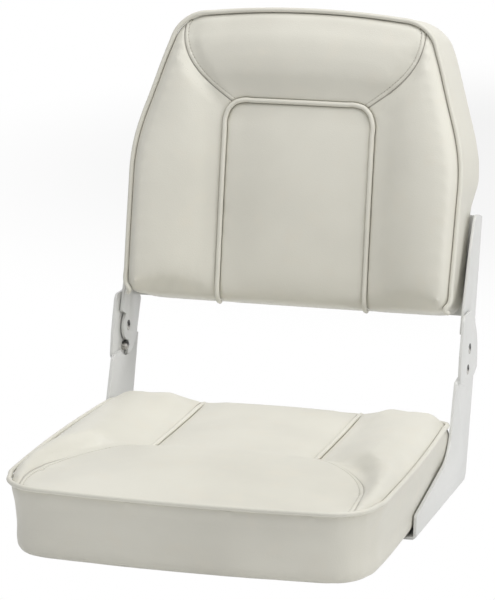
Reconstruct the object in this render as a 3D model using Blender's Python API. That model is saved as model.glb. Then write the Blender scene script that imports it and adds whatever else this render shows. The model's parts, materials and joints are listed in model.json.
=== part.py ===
"""Folding boat seat: a padded seat on two leaning arms, with a backrest that folds down on to it.

Metres, +Z up. +X is the sitter's left as seen from the front, the seat faces -Y, and the part
stands on the flanges under the seat (z = 0). Sizes are given in the seat's own frame, where y = 0
is the front of the seat's welt, and the whole part is centred on the origin at the end.
Backrest sizes are given in the leaning frame of the backrest, with its origin on the hinge axis.
"""
import math

import bmesh
import bpy
import numpy as np

mm = 0.001
degree = math.pi / 180

# Clearances
gap = 0.3 * mm                       # between pieces that seat on each other
cut_margin = 5 * mm                  # how far a cutter reaches past what it cuts

# Seat pad
seat_width = 404 * mm                # over the centre of the welt, at the widest
seat_front_narrowing = 9 * mm        # how much narrower than that it is at the front
seat_rear_narrowing = 20 * mm
seat_depth = 386 * mm
seat_front_bow = 12 * mm             # the front edge is this far forward in the middle
seat_front_corner = 47 * mm
seat_rear_corner = 26 * mm
seat_welt_front_height = 79.5 * mm   # height of the welt above the ground
seat_welt_rear_height = 81.5 * mm
seat_welt_arch = 1.5 * mm
seat_panel_width = 182 * mm          # between the two piped seams
seat_panel_length = 206 * mm         # from the rear edge to where the piped seams fade out
seat_seam_reach = 16 * mm            # where the curved seams meet the welt, from the front
seat_crown = 12 * mm                 # of the front panel
seat_dish_crown = 12 * mm            # of the panel between the piped seams
seat_bolster_crown = 20 * mm
seat_bottom_round = 16 * mm
seat_rim_height = 0.6 * mm           # of the lower edge above the ground, ahead of the flanges
seat_side_draw = 5 * mm              # how far the sides pull in below the welt
seat_rear_swell = 7 * mm             # how much fuller the sides are at the rear
seat_seam_drop = 5 * mm              # of the piped seams below the line of the welt

# Boards and covers
board_thickness = 12 * mm
seat_board_inset = 24 * mm           # from the welt line to the board's pocket
cover_thickness = 1.4 * mm
cover_clearance = 3 * mm             # from its edges to the flanges
cover_corner = 12 * mm
rear_panel_thickness = 3 * mm
rear_panel_inset = 9 * mm
back_board_inset = 14 * mm

# Piping
welt_radius = 2.7 * mm
seam_groove = 4.2 * mm               # half the width of the groove that holds a piped seam
piped_depth = 3.9 * mm               # of that groove
stitched_depth = 2 * mm              # of a seam that has only stitches
seam_welt_lift = 0.7 * mm            # how far a piped seam's cord lies above the seam's edges
groove_edge_rise = 0.6 * mm          # at most, of the groove's edges above the seam

# Arms; the places in the plane of a side plate are (y, z) from the hinge axis
plate_thickness = 3 * mm
bend_radius = 5 * mm
side_clearance = 0.5 * mm            # between a cushion's side and the arm beside it
flange_width = 52 * mm
flange_front = 233 * mm              # ahead of the hinge axis
flange_rear = 6 * mm
gusset_front_height = 26 * mm        # above the ground
gusset_corner = (-81 * mm, -103 * mm)
gusset_radius = 45 * mm
post_front_top = (-50 * mm, -27 * mm)
post_rear_top = (39 * mm, -16 * mm)
post_rear_bottom = (1 * mm, -143.5 * mm)
cheek_height = 41.5 * mm             # top above the hinge axis
cheek_top_front = 27 * mm            # ahead of the hinge axis
cheek_top_rear = 14 * mm             # behind it
cheek_front = 41 * mm
cheek_low_front = 46 * mm
cheek_rear = 38 * mm
cheek_foot = 24 * mm                 # half the width of its lower edge
cheek_front_radius = 60 * mm
cheek_rear_radius = 36 * mm
cheek_foot_radius = 26 * mm
cheek_crease = 3.5 * mm              # width of the sloping step under the cheek

# Hinge
pivot_behind = 44 * mm               # the hinge axis, behind the seat's rear edge
pivot_z = 152.5 * mm
back_tilt = 15 * degree
stop_offset = (-8 * mm, -22 * mm)    # from the hinge axis to the stop bolt, in y and z
pocket_radius = 34.5 * mm
arm_end_radius = 33 * mm
washer_thickness = 0.7 * mm
washer_radius = 11 * mm
pivot_barrel_radius = 4 * mm
pivot_head_radius = 6 * mm
pivot_head_depth = 1.7 * mm
pivot_screw_radius = 2.4 * mm
stop_bolt_radius = 2.8 * mm
stop_head_radius = 5.8 * mm
stop_nut_flats = 10 * mm
stop_nut_length = 5.8 * mm
fold_range = 100 * degree            # the notch's other end meets the stop a little further on

# Upper arm, in the backrest's frame
arm_height = 150 * mm                # top above the hinge axis
arm_front_low = 24 * mm              # front edge ahead of the axis, where the backrest begins
arm_front_high = 10 * mm
arm_front_bend = 108 * mm            # height where the front edge turns in towards the top
arm_top_front = -3 * mm
arm_top_round = 16 * mm
arm_front_radius = 60 * mm
arm_low_radius = 30 * mm
arm_flange_width = 43 * mm
arm_flange_behind = 36.3 * mm        # front face of the flange behind the hinge axis
arm_horn_reach = 26 * mm             # lower end of the front edge, where the notch ends

# Backrest
back_narrowing = 5 * mm              # of the welt line, from the upper arms' inner faces
back_bottom_narrowing = 7 * mm
back_height = 329 * mm
back_shoulder_height = 172 * mm      # where the sides begin to taper
back_top_width = 290 * mm            # between the top corners
back_top_bow = 11 * mm
back_shoulder_radius = 200 * mm
back_top_corner = 34 * mm
back_bottom_corner = 17 * mm
back_face_ahead = 47.5 * mm          # the plane of the face welt, ahead of the hinge axis
back_bottom_above = 34 * mm          # lower end of the backrest, above the hinge axis
back_panel_width = 171 * mm          # between the legs of the piped arch
back_panel_height = 226 * mm
back_panel_corner = 22 * mm
back_recess = 3 * mm                 # how far the arch's top lies behind the face welt
back_low_recess = 20 * mm            # and the lower ends of its legs
back_crown = 5 * mm
back_bolster_crown = 17 * mm
back_head_crown = 14 * mm
back_rear_round = 10 * mm
back_side_bulge = 9 * mm             # of the boxing, above the upper arms
back_top_bulge = 8 * mm              # and of the boxing along the top
back_roll_radius = 14 * mm           # of the lower edge, which has no welt
back_roll_fade = 60 * mm             # over which the roll grows from each corner

# Fasteners
seat_bolt_edge = 10 * mm             # from a rear bolt's axis to the edge of the board's pocket
seat_bolt_front = 45 * mm            # behind the front end of the flange
seat_bolt_rear = 38 * mm             # ahead of the seat's rear edge
seat_bolt_radius = 2.9 * mm
seat_bolt_head_radius = 6 * mm
tnut_radius = 4.2 * mm
tnut_flange_radius = 9 * mm
tnut_flange_thickness = 1.2 * mm
tnut_length = 9 * mm
arm_screw_edge = 6.5 * mm            # from a screw's axis to the edge of the board
arm_screw_shares = (0.35, 0.605, 0.865)  # of the arm's height above the hinge axis
arm_screw_radius = 2.1 * mm
arm_screw_head_radius = 4.6 * mm
arm_screw_head_height = 2.4 * mm
arm_screw_length = 17 * mm

# Worked out from the sizes above
seat_front_width = seat_width - seat_front_narrowing
seat_rear_width = seat_width - seat_rear_narrowing
pivot_y = seat_depth + pivot_behind
post_inner_x = max(seat_width / 2 - seat_side_draw, seat_rear_width / 2 + welt_radius) + side_clearance
post_outer_x = post_inner_x + plate_thickness
cheek_outer_x = post_outer_x + plate_thickness
arm_outer_x = post_outer_x - washer_thickness - 2 * gap
arm_inner_x = arm_outer_x - plate_thickness
board_bottom = plate_thickness + gap
board_top = board_bottom + board_thickness
tnut_top = board_top + gap + tnut_flange_thickness
pocket_top = tnut_top + gap
arm_flange_outer = arm_flange_behind + plate_thickness
rear_panel_outer = arm_flange_behind - gap
rear_panel_inner = rear_panel_outer - rear_panel_thickness
back_width = 2 * (arm_inner_x - welt_radius) - back_narrowing
back_bottom_width = back_width - back_bottom_narrowing
back_face = -back_face_ahead
back_rear = rear_panel_inner - gap   # rear of the backrest's cushion
back_board_rear = back_rear - gap
back_board_front = back_board_rear - board_thickness
back_pocket_front = back_board_front - gap
arm_screw_x = back_bottom_width / 2 - back_board_inset - gap - arm_screw_edge
arm_screw_heights = [share * arm_height for share in arm_screw_shares]
seat_bolt_ys = (pivot_y - flange_front + seat_bolt_front, seat_depth - seat_bolt_rear)


# Materials

def material(name, colour, roughness, metallic=0.0):
    mat = bpy.data.materials.get(name) or bpy.data.materials.new(name)
    mat.use_nodes = True
    shader = mat.node_tree.nodes["Principled BSDF"]
    shader.inputs["Base Color"].default_value = (*colour, 1)
    shader.inputs["Roughness"].default_value = roughness
    shader.inputs["Metallic"].default_value = metallic
    return mat


def vinyl():
    return material("off_white_vinyl", (0.72, 0.71, 0.63), 0.45)


def paint():
    return material("white_painted_metal", (0.78, 0.78, 0.76), 0.35)


def steel():
    return material("stainless_steel", (0.55, 0.54, 0.52), 0.3, 1.0)


def plywood():
    return material("plywood", (0.50, 0.34, 0.19), 0.7)


def cloth():
    return material("black_cover_cloth", (0.03, 0.03, 0.03), 0.9)


def nylon():
    return material("white_nylon", (0.75, 0.75, 0.72), 0.5)


# Objects

def clear_scene():
    for old in list(bpy.data.objects):
        bpy.data.objects.remove(old, do_unlink=True)


def empty(name, parent=None, location=(0, 0, 0), rotation=(0, 0, 0)):
    holder = bpy.data.objects.new(name, None)
    bpy.context.collection.objects.link(holder)
    holder.parent = parent
    holder.location = location
    holder.rotation_euler = rotation
    return holder


def new_object(name, points, faces, mat, parent, smooth_angle=None):
    """One closed mesh object; doubles are merged and the faces are turned outwards."""
    mesh = bpy.data.meshes.new(name)
    mesh.from_pydata([tuple(float(c) for c in p) for p in points], [], faces)
    build = bmesh.new()
    build.from_mesh(mesh)
    bmesh.ops.remove_doubles(build, verts=build.verts, dist=0.00002)
    bmesh.ops.recalc_face_normals(build, faces=build.faces)
    build.to_mesh(mesh)
    build.free()
    mesh.materials.append(mat)
    item = bpy.data.objects.new(name, mesh)
    bpy.context.collection.objects.link(item)
    item.parent = parent
    if smooth_angle is not None:
        mesh.shade_smooth()
        mesh.set_sharp_from_angle(angle=smooth_angle)
    return item


def boolean(target, tool, operation):
    """Applies one exact boolean and deletes the tool."""
    step = target.modifiers.new(operation.lower(), "BOOLEAN")
    step.operation = operation
    step.object = tool
    bpy.context.view_layer.update()
    bpy.context.view_layer.objects.active = target
    with bpy.context.temp_override(object=target, active_object=target, selected_objects=[target]):
        bpy.ops.object.modifier_apply(modifier=step.name)
    bpy.data.objects.remove(tool, do_unlink=True)


def prism(name, outline, low, high, place, mat, parent):
    """An outline drawn in a plane and given a thickness; place turns (a, b, depth) into a point."""
    count = len(outline)
    points = [place(a, b, low) for a, b in outline] + [place(a, b, high) for a, b in outline]
    faces = [tuple(range(count)), tuple(reversed(range(count, 2 * count)))]
    faces += [(i, (i + 1) % count, count + (i + 1) % count, count + i) for i in range(count)]
    return new_object(name, points, faces, mat, parent)


def turned(name, profile, place, mat, parent, sides=24):
    """A body of revolution; the profile is (radius, distance along the axis), from end to end."""
    points, faces = [], []
    for radius, along in profile:
        for i in range(sides):
            turn = 2 * math.pi * i / sides
            points.append(place(radius * math.cos(turn), radius * math.sin(turn), along))
    for ring in range(len(profile) - 1):
        for i in range(sides):
            j = (i + 1) % sides
            faces.append((ring * sides + i, ring * sides + j, (ring + 1) * sides + j, (ring + 1) * sides + i))
    closed = profile[0] == profile[-1]
    if not closed:
        faces.append(tuple(range(sides)))
        faces.append(tuple(range((len(profile) - 1) * sides, len(profile) * sides)))
    return new_object(name, points, faces, mat, parent, 40 * degree)


def tube(name, path, mat, parent, radius=welt_radius, closed=True, sides=8):
    """A round cord along a path of points, with flat ends where it isn't closed."""
    path = np.array(path)
    count = len(path)
    points, faces = [], []
    for i in range(count):
        before = path[(i - 1) % count] if closed or i > 0 else path[i]
        after = path[(i + 1) % count] if closed or i < count - 1 else path[i]
        along = (after - before) / np.linalg.norm(after - before)
        side = np.cross(along, (0.0, 0.0, 1.0) if abs(along[2]) < 0.8 else (0.0, 1.0, 0.0))
        side /= np.linalg.norm(side)
        up = np.cross(side, along)
        if i > 0:                                   # keeps the rings from turning along the path
            side = previous_side - along * np.dot(previous_side, along)
            side /= np.linalg.norm(side)
            up = np.cross(side, along)
        previous_side = side
        for k in range(sides):
            turn = 2 * math.pi * (k + 0.5) / sides
            points.append(path[i] + radius * (math.cos(turn) * side + math.sin(turn) * up))
    for i in range(count if closed else count - 1):
        j = (i + 1) % count
        shift = closest_shift(points, i, j, sides) if closed and j == 0 else 0
        for k in range(sides):
            a, b = (k + shift) % sides, (k + 1 + shift) % sides
            faces.append((i * sides + k, i * sides + (k + 1) % sides, j * sides + b, j * sides + a))
    if not closed:
        faces.append(tuple(range(sides)))
        faces.append(tuple(range((count - 1) * sides, count * sides)))
    return new_object(name, points, faces, mat, parent, 60 * degree)


def closest_shift(points, i, j, sides):
    """How far the first ring is turned against the last one where a closed tube meets itself."""
    first = np.array(points[i * sides])
    return min(range(sides), key=lambda k: np.linalg.norm(np.array(points[j * sides + k]) - first))


# Outlines

def filleted(corners, radii, steps=7):
    """A closed outline with its corners rounded; a radius of 0 leaves a sharp corner."""
    outline = []
    count = len(corners)
    for i, (corner, radius) in enumerate(zip(corners, radii)):
        here = np.array(corner)
        back = np.array(corners[i - 1]) - here
        ahead = np.array(corners[(i + 1) % count]) - here
        if radius <= 0:
            outline.append(tuple(here))
            continue
        back_length, ahead_length = np.linalg.norm(back), np.linalg.norm(ahead)
        back, ahead = back / back_length, ahead / ahead_length
        half = math.acos(max(-1, min(1, float(np.dot(back, ahead))))) / 2
        reach = min(radius / math.tan(half), 0.49 * back_length, 0.49 * ahead_length)
        radius = reach * math.tan(half)
        middle = back + ahead
        centre = here + middle / np.linalg.norm(middle) * (radius / math.sin(half))
        start, end = here + back * reach - centre, here + ahead * reach - centre
        first = math.atan2(start[1], start[0])
        sweep = math.atan2(end[1], end[0]) - first
        sweep = (sweep + math.pi) % (2 * math.pi) - math.pi
        for k in range(steps + 1):
            turn = first + sweep * k / steps
            outline.append((centre[0] + radius * math.cos(turn), centre[1] + radius * math.sin(turn)))
    return outline


def arc(centre, radius, first, last, steps):
    """Points on a circle between two angles in degrees, ends included."""
    turns = [(first + (last - first) * k / steps) * degree for k in range(steps + 1)]
    return [(centre[0] + radius * math.cos(t), centre[1] + radius * math.sin(t)) for t in turns]


def resampled(path, count, bend=0.0):
    """A path cut into equal lengths, or with more bend into shorter ones where it turns."""
    path = np.array(path, float)
    runs = np.diff(path, axis=0)
    lengths = np.linalg.norm(runs, axis=1)
    if bend:
        heading = np.unwrap(np.arctan2(runs[:, 1], runs[:, 0]))
        turn = np.abs(np.diff(heading, prepend=heading[0]))
        lengths = lengths + bend * turn
    lengths = np.concatenate([[0], np.cumsum(lengths)])
    wanted = np.linspace(0, lengths[-1], count + 1)
    return np.stack([np.interp(wanted, lengths, path[:, k]) for k in range(path.shape[1])], 1)


def cut_path(path, start, end):
    """The part of a dense path between its points nearest to start and end."""
    path = np.array(path, float)
    first = int(np.argmin(np.linalg.norm(path - np.array(start), axis=1)))
    last = int(np.argmin(np.linalg.norm(path - np.array(end), axis=1)))
    return path[first:last + 1]


def bezier(start, start_handle, end_handle, end, count=24):
    t = np.linspace(0, 1, count + 1)[:, None]
    return ((1 - t) ** 3 * np.array(start) + 3 * (1 - t) ** 2 * t * np.array(start_handle)
            + 3 * (1 - t) * t ** 2 * np.array(end_handle) + t ** 3 * np.array(end))


def mirrored(path):
    return np.array(path) * (-1, 1)


def outward(loop):
    """Normals of a closed plan loop, long enough at its corners for an even offset."""
    loop = np.array(loop)
    along = np.roll(loop, -1, 0) - loop
    ahead = np.stack([along[:, 1], -along[:, 0]], 1)
    ahead /= np.linalg.norm(ahead, axis=1)[:, None]
    behind = np.roll(ahead, 1, 0)
    normal = ahead + behind
    normal /= np.linalg.norm(normal, axis=1)[:, None]
    normal /= np.sum(normal * ahead, axis=1)[:, None]
    area = np.sum(loop[:, 0] * np.roll(loop[:, 1], -1) - np.roll(loop[:, 0], -1) * loop[:, 1])
    return normal if area > 0 else -normal


def beside_seam(near, step, plane):
    """Points at the edge of a seam's groove, beside a row of seam points, towards the next row."""
    seam, across = near[:, plane], step[:, plane]
    tangent = np.gradient(seam, axis=0)
    tangent /= np.linalg.norm(tangent, axis=1)[:, None]
    along = np.sum(across * tangent, axis=1)[:, None] * tangent
    across = across - along
    away = np.maximum(np.linalg.norm(across, axis=1), 1e-6)[:, None]
    width = np.minimum(seam_groove, 0.5 * away)
    points = near + step * (width / away)
    points[:, plane] = seam + along * 0.4 + across / away * width
    for end in (0, -1):
        points[end] = near[end] + step[end] * (1.2 * seam_groove / max(np.linalg.norm(step[end]), 1e-6))
    return points


def patch(bottom, top, left, right, ease=1):
    """A grid of points between four edges; with more ease its rows follow the top edge later."""
    bottom, top, left, right = (np.array(edge, float) for edge in (bottom, top, left, right))
    across = np.linspace(0, 1, len(bottom))[None, :, None]
    along = np.linspace(0, 1, len(left))[:, None, None]
    rise = along ** ease
    ruled = (1 - rise) * bottom[None] + rise * top[None]
    ruled = ruled + (1 - across) * left[:, None] + across * right[:, None]
    corners = ((1 - across) * (1 - rise) * bottom[0] + across * (1 - rise) * bottom[-1]
               + (1 - across) * rise * top[0] + across * rise * top[-1])
    return ruled - corners


def padded_shape(t, fullness=0.5):
    """0 at both edges of a panel and 1 in its middle."""
    return (np.clip(4 * t * (1 - t), 0, 1)) ** fullness


class Pad:
    """Collects grids and rings of points into one closed mesh."""

    def __init__(self):
        self.points, self.faces = [], []

    def grid(self, rows):
        rows = np.array(rows)
        start = len(self.points)
        height, width = rows.shape[:2]
        self.points += [tuple(p) for p in rows.reshape(-1, 3)]
        for i in range(height - 1):
            for j in range(width - 1):
                a = start + i * width + j
                self.faces.append((a, a + 1, a + width + 1, a + width))

    def rings(self, loops):
        count = len(loops[0])
        start = len(self.points)
        for loop in loops:
            self.points += [tuple(p) for p in loop]
        for i in range(len(loops) - 1):
            for j in range(count):
                k = (j + 1) % count
                a, b = start + i * count, start + (i + 1) * count
                self.faces.append((a + j, a + k, b + k, b + j))
        return start + (len(loops) - 1) * count

    def cap(self, start, count):
        self.faces.append(tuple(range(start, start + count)))


# Seat pad

def seat_half_width(y):
    share = np.clip(y / seat_depth, 0, 1)
    straight = seat_front_width + (seat_rear_width - seat_front_width) * share
    swell = seat_width - (seat_front_width + seat_rear_width) / 2
    return (straight + swell * 4 * share * (1 - share)) / 2


def seat_welt_height(y):
    share = np.clip(np.asarray(y) / seat_depth, 0, 1)
    return (seat_welt_front_height + (seat_welt_rear_height - seat_welt_front_height) * share
            + seat_welt_arch * 4 * share * (1 - share))


def seat_half_outline():
    """The right half of the welt line in plan, from the middle of the front to that of the rear."""
    corner_x = seat_front_width / 2 - seat_front_corner
    bow = seat_front_bow
    front = [(corner_x * t, bow * (corner_x * t / (seat_front_width / 2)) ** 2) for t in np.linspace(0, 1, 40)]
    start_y = front[-1][1]
    front += arc((corner_x, start_y + seat_front_corner), seat_front_corner, -90, 0, 24)[1:]
    side_start = start_y + seat_front_corner
    side_end = seat_depth - seat_rear_corner
    side = [(seat_half_width(y), y) for y in np.linspace(side_start, side_end, 80)[1:]]
    corner_centre = (seat_half_width(side_end) - seat_rear_corner, side_end)
    rear = arc(corner_centre, seat_rear_corner, 0, 90, 16)[1:]
    rear += [(corner_centre[0] * t, seat_depth) for t in np.linspace(1, 0, 60)[1:]]
    return np.array(front + side + rear)


def seat_seam(end):
    """One top seam in plan: straight from the rear edge, then curving out to the welt."""
    x = seat_panel_width / 2
    leg_end = seat_depth - seat_panel_length
    leg = [(x, y) for y in np.linspace(seat_depth, leg_end, 30)]
    turn = bezier((x, leg_end), (x + 50 * mm, leg_end), (end[0] - 18 * mm, leg_end + 8 * mm), end, 40)
    return np.array(leg + [tuple(p) for p in turn[1:]])


seat_across, seat_along, seat_bolster_rows = 16, 14, 4
corner_bend = 45 * mm                # how strongly points gather at the corners of a welt line


def seat_loop():
    """The welt line of the seat as a closed loop, and where its corners fall in it."""
    half = seat_half_outline()
    end = half[int(np.argmax(half[:, 1] > seat_seam_reach))]
    corner = half[int(np.argmax(half @ np.array((1.0, 1.0))))]
    middle = (seat_panel_width / 2, seat_depth)
    front = resampled(cut_path(half, (0, 0), end), seat_across // 2, corner_bend)
    side = resampled(cut_path(half, end, corner), seat_along, corner_bend)
    rear_side = resampled(cut_path(half, corner, middle), seat_bolster_rows, corner_bend)
    rear = resampled(cut_path(half, middle, (0, seat_depth)), seat_across // 2)
    right = np.concatenate([front, side[1:], rear_side[1:], rear[1:]])
    left = mirrored(right[1:-1][::-1])
    return np.concatenate([right, left])


def seat_ring(loop, normal, offset, height):
    plan = loop + normal * offset
    return np.stack([plan[:, 0], plan[:, 1], np.broadcast_to(height, len(loop))], 1)


def seat_cushion(parent):
    loop = seat_loop()
    normal = outward(loop)
    count = len(loop)
    welt = seat_welt_height(loop[:, 1])
    edge = seat_ring(loop, normal, -3.3 * mm, welt + 0.8 * mm)
    half = seat_across // 2
    side_end = half + seat_along
    rear_seam = side_end + seat_bolster_rows
    front = np.concatenate([edge[-half:], edge[:half + 1]])
    right_side = edge[half:side_end + 1]
    rear_right = edge[side_end:rear_seam + 1]
    rear_middle = edge[rear_seam:rear_seam + seat_across + 1]

    def seam_points(end):
        plan = resampled(seat_seam(end[:2]), seat_along)
        plan[0], plan[-1] = edge[rear_seam][:2], end[:2]
        share = np.linspace(0, 1, len(plan))
        drop = seat_seam_drop * padded_shape(share, 0.4) * np.clip((0.72 - share) / 0.3, 0, 1)
        points = np.stack([plan[:, 0], plan[:, 1], seat_welt_height(plan[:, 1]) + 0.8 * mm - drop], 1)
        points[0], points[-1] = edge[rear_seam], end
        return points

    seam = seam_points(edge[half])
    seam_left = seam * (-1, 1, 1)
    piped = seat_panel_length / path_length(seam)
    share = np.linspace(0, 1, len(seam))
    depth = np.where(share < piped + 0.02, piped_depth, stitched_depth)
    pad = Pad()
    middle = patch(rear_middle[::-1], front, seam_left, seam, 3)
    across = np.linspace(0, 1, seat_across + 1)[None, :]
    along = np.linspace(0, 1, seat_along + 1)[:, None]
    crown = seat_dish_crown + (seat_crown - seat_dish_crown) * np.clip(along * 1.6 - 0.4, 0, 1)
    fullness = np.where(along < 0.5, padded_shape(along, 0.25), padded_shape(along, 0.5))
    middle[..., 2] += crown * padded_shape(across, 0.5) * fullness
    middle = grooved(middle, ((0, 1), (-1, -2)), depth)
    pad.grid(middle)
    tip = np.repeat(edge[half][None], seat_bolster_rows + 1, 0)
    bolster = patch(rear_right[::-1], tip, seam, right_side[::-1])
    across = np.linspace(0, 1, seat_bolster_rows + 1)[None, :]
    taper = np.minimum(1, 2.2 * (1 - along)) ** 0.5
    bolster[..., 2] += seat_bolster_crown * padded_shape(across, 0.5) * padded_shape(along, 0.2) * taper
    bolster = grooved(bolster, ((0, 1),), depth)
    pad.grid(bolster)
    pad.grid(bolster * (-1, 1, 1))
    past_front = loop[:, 1] - (pivot_y - flange_front)
    under_flange = np.clip((past_front + 2 * seat_bolt_front) / seat_bolt_front, 0, 1)
    low = seat_rim_height + (board_bottom - seat_rim_height) * under_flange
    walls = [edge,
             seat_ring(loop, normal, -2.6 * mm, welt - 2.0 * mm),
             seat_ring(loop, normal, -0.7 * mm, welt - 3.4 * mm)]
    swell = seat_rear_swell * np.clip((loop[:, 1] / seat_depth - 0.75) / 0.2, 0, 1)[:, None]
    for share, draw, full in ((0.74, 0.5, 0.55), (0.5, 0.85, 1), (0.3, 1, 0.7)):
        walls.append(seat_ring(loop, normal, swell * full - seat_side_draw * draw, low + (welt - low) * share))
    for turn in (35, 62, 90):
        inward = seat_side_draw + (seat_bottom_round - seat_side_draw) * (1 - math.cos(turn * degree))
        height = low + seat_bottom_round * (1 - math.sin(turn * degree))
        walls.append(seat_ring(loop, normal, -inward, height))
    walls.append(seat_ring(loop, normal, -seat_board_inset, board_bottom))
    walls.append(seat_ring(loop, normal, -seat_board_inset, pocket_top))
    last = pad.rings(walls)
    pad.cap(last, count)
    new_object("seat_cushion", pad.points, pad.faces, vinyl(), parent, 50 * degree)
    return loop, normal, seam


def grooved(grid, columns, depth):
    """Moves the rows beside a seam to the groove's edge and sinks the seam's own row by a depth."""
    grid = grid.copy()
    for near, following in columns:
        step = grid[:, following] - grid[:, near]
        beside = beside_seam(grid[:, near], step, (0, 1))
        beside[:, 2] = np.minimum(beside[:, 2], grid[:, near, 2] + groove_edge_rise)
        grid[1:-1, following] = beside[1:-1]
        grid[1:-1, near, 2] -= depth[1:-1]
    return grid


def seat_parts(parent):
    loop, normal, seam = seat_cushion(parent)
    welt = np.stack([loop[:, 0], loop[:, 1], seat_welt_height(loop[:, 1])], 1)
    tube("seat_welt", welt, vinyl(), parent)
    for side, name in ((1, "right"), (-1, "left")):
        leg = seam[1:1 + int(round(seat_along * seat_panel_length / path_length(seam)))]
        line = leg * (side, 1, 1) + (0, 0, seam_welt_lift)
        tube("seat_seam_welt_" + name, line, vinyl(), parent, closed=False)
    place = lambda a, b, depth: (a, b, depth)
    board_loop = loop + normal * -(seat_board_inset + gap)
    board = prism("seat_board", board_loop, board_bottom, board_top, place, plywood(), parent)
    cover_half = post_outer_x - flange_width - cover_clearance
    cover_front = seat_board_inset + 2 * cover_corner
    cover_rear = seat_depth - seat_board_inset
    corners = [(-cover_half, cover_front), (cover_half, cover_front),
               (cover_half, cover_rear), (-cover_half, cover_rear)]
    prism("seat_underside_cover", filleted(corners, [cover_corner] * 4), plate_thickness - cover_thickness,
          plate_thickness, place, cloth(), parent)
    bolt_x = seat_bolt_x()
    for x in (-bolt_x, bolt_x):
        for y in seat_bolt_ys:
            hole = turned("hole", [(tnut_radius + gap, board_bottom - cut_margin),
                                   (tnut_radius + gap, board_top + cut_margin)],
                          lambda a, b, along, x=x, y=y: (x + a, y + b, along), plywood(), parent)
            boolean(board, hole, "DIFFERENCE")
            name = ("front" if y == seat_bolt_ys[0] else "rear") + ("_right" if x > 0 else "_left")
            seat_bolt(name, x, y, parent)


def path_length(path):
    return float(np.sum(np.linalg.norm(np.diff(np.array(path)[:, :2], axis=0), axis=1)))


def seat_bolt_x():
    """How far the flange bolts lie from the middle, for their T-nuts to fit in the board's pocket."""
    return seat_half_width(seat_bolt_ys[1]) - seat_board_inset - seat_bolt_edge


def seat_bolt(name, x, y, parent):
    """A countersunk bolt through the flange and the T-nut that it screws into, in the board."""
    place = lambda a, b, along: (x + a, y + b, along)
    head, shank = seat_bolt_head_radius, seat_bolt_radius
    bolt = turned("seat_bolt_" + name, [(head, 0.1 * mm), (shank, 0.1 * mm + head - shank), (shank, board_top)],
                  place, steel(), parent, 20)
    socket = turned("socket", [(2.3 * mm, -cut_margin), (2.3 * mm, 2.2 * mm)], place, steel(), parent, 6)
    boolean(bolt, socket, "DIFFERENCE")
    bore = shank + gap
    low, flange = tnut_top - tnut_length, board_top + gap
    profile = [(bore, low), (tnut_radius, low), (tnut_radius, flange), (tnut_flange_radius, flange),
               (tnut_flange_radius, tnut_top), (bore, tnut_top), (bore, low)]
    turned("t_nut_" + name, profile, place, steel(), parent, 20)


# Lower arms

def side_place(side):
    """Turns (y, z, depth) of the right side into a point; the left side is its mirror."""
    return lambda a, b, depth: (side * depth, a, b)


def from_pivot(place):
    return pivot_y + place[0], pivot_z + place[1]


def lower_arm(side, name, parent):
    place = side_place(side)
    overlap = 0.2 * mm
    front, rear = pivot_y - flange_front, pivot_y - flange_rear
    corners = [(front, plate_thickness), (front + 2 * mm, gusset_front_height), from_pivot(gusset_corner),
               from_pivot(post_front_top), from_pivot(post_rear_top), from_pivot(post_rear_bottom),
               (rear, plate_thickness)]
    outline = filleted(corners, [0, 4 * mm, gusset_radius, 4 * mm, 2 * mm, 5 * mm, 0])
    arm = prism("lower_arm_" + name, outline, post_inner_x, post_outer_x + overlap, place, paint(), parent)
    pocket = turned("pocket", [(pocket_radius, post_inner_x - cut_margin),
                               (pocket_radius, cheek_outer_x + cut_margin)],
                    lambda a, b, along: (side * along, pivot_y + a, pivot_z + b), paint(), parent, 64)
    boolean(arm, pocket, "DIFFERENCE")
    ell = filleted([(post_outer_x, 2 * bend_radius), (post_outer_x, 0), (post_outer_x - flange_width, 0),
                    (post_outer_x - flange_width, plate_thickness), (post_inner_x, plate_thickness),
                    (post_inner_x, 2 * bend_radius)],
                   [0, bend_radius, 0, 0, bend_radius - plate_thickness, 0], 5)
    flange = prism("flange", ell, front, rear, lambda a, b, depth: (side * a, depth, b), paint(), parent)
    boolean(arm, flange, "UNION")
    boolean(arm, cheek(side, parent), "UNION")
    pivot = lambda a, b, along: (side * along, pivot_y + a, pivot_z + b)
    stop = lambda a, b, along: (side * along, pivot_y + stop_offset[0] + a, pivot_z + stop_offset[1] + b)
    for centre, radius, head in ((pivot, pivot_barrel_radius, pivot_head_radius),
                                 (stop, stop_bolt_radius, stop_head_radius)):
        profile = [(radius + gap, post_outer_x - cut_margin), (radius + gap, cheek_outer_x - (head - radius)),
                   (head + gap, cheek_outer_x), (head + gap, cheek_outer_x + cut_margin)]
        boolean(arm, turned("hole", profile, centre, paint(), parent), "DIFFERENCE")
    for y in seat_bolt_ys:
        radius, head = seat_bolt_radius, seat_bolt_head_radius
        profile = [(head + gap, -cut_margin), (head + gap, 0.1 * mm), (radius + gap, 0.1 * mm + head - radius),
                   (radius + gap, plate_thickness + cut_margin)]
        centre = lambda a, b, along, y=y: (side * seat_bolt_x() + a, y + b, along)
        boolean(arm, turned("hole", profile, centre, paint(), parent, 20), "DIFFERENCE")
    finish_plate(arm)


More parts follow.
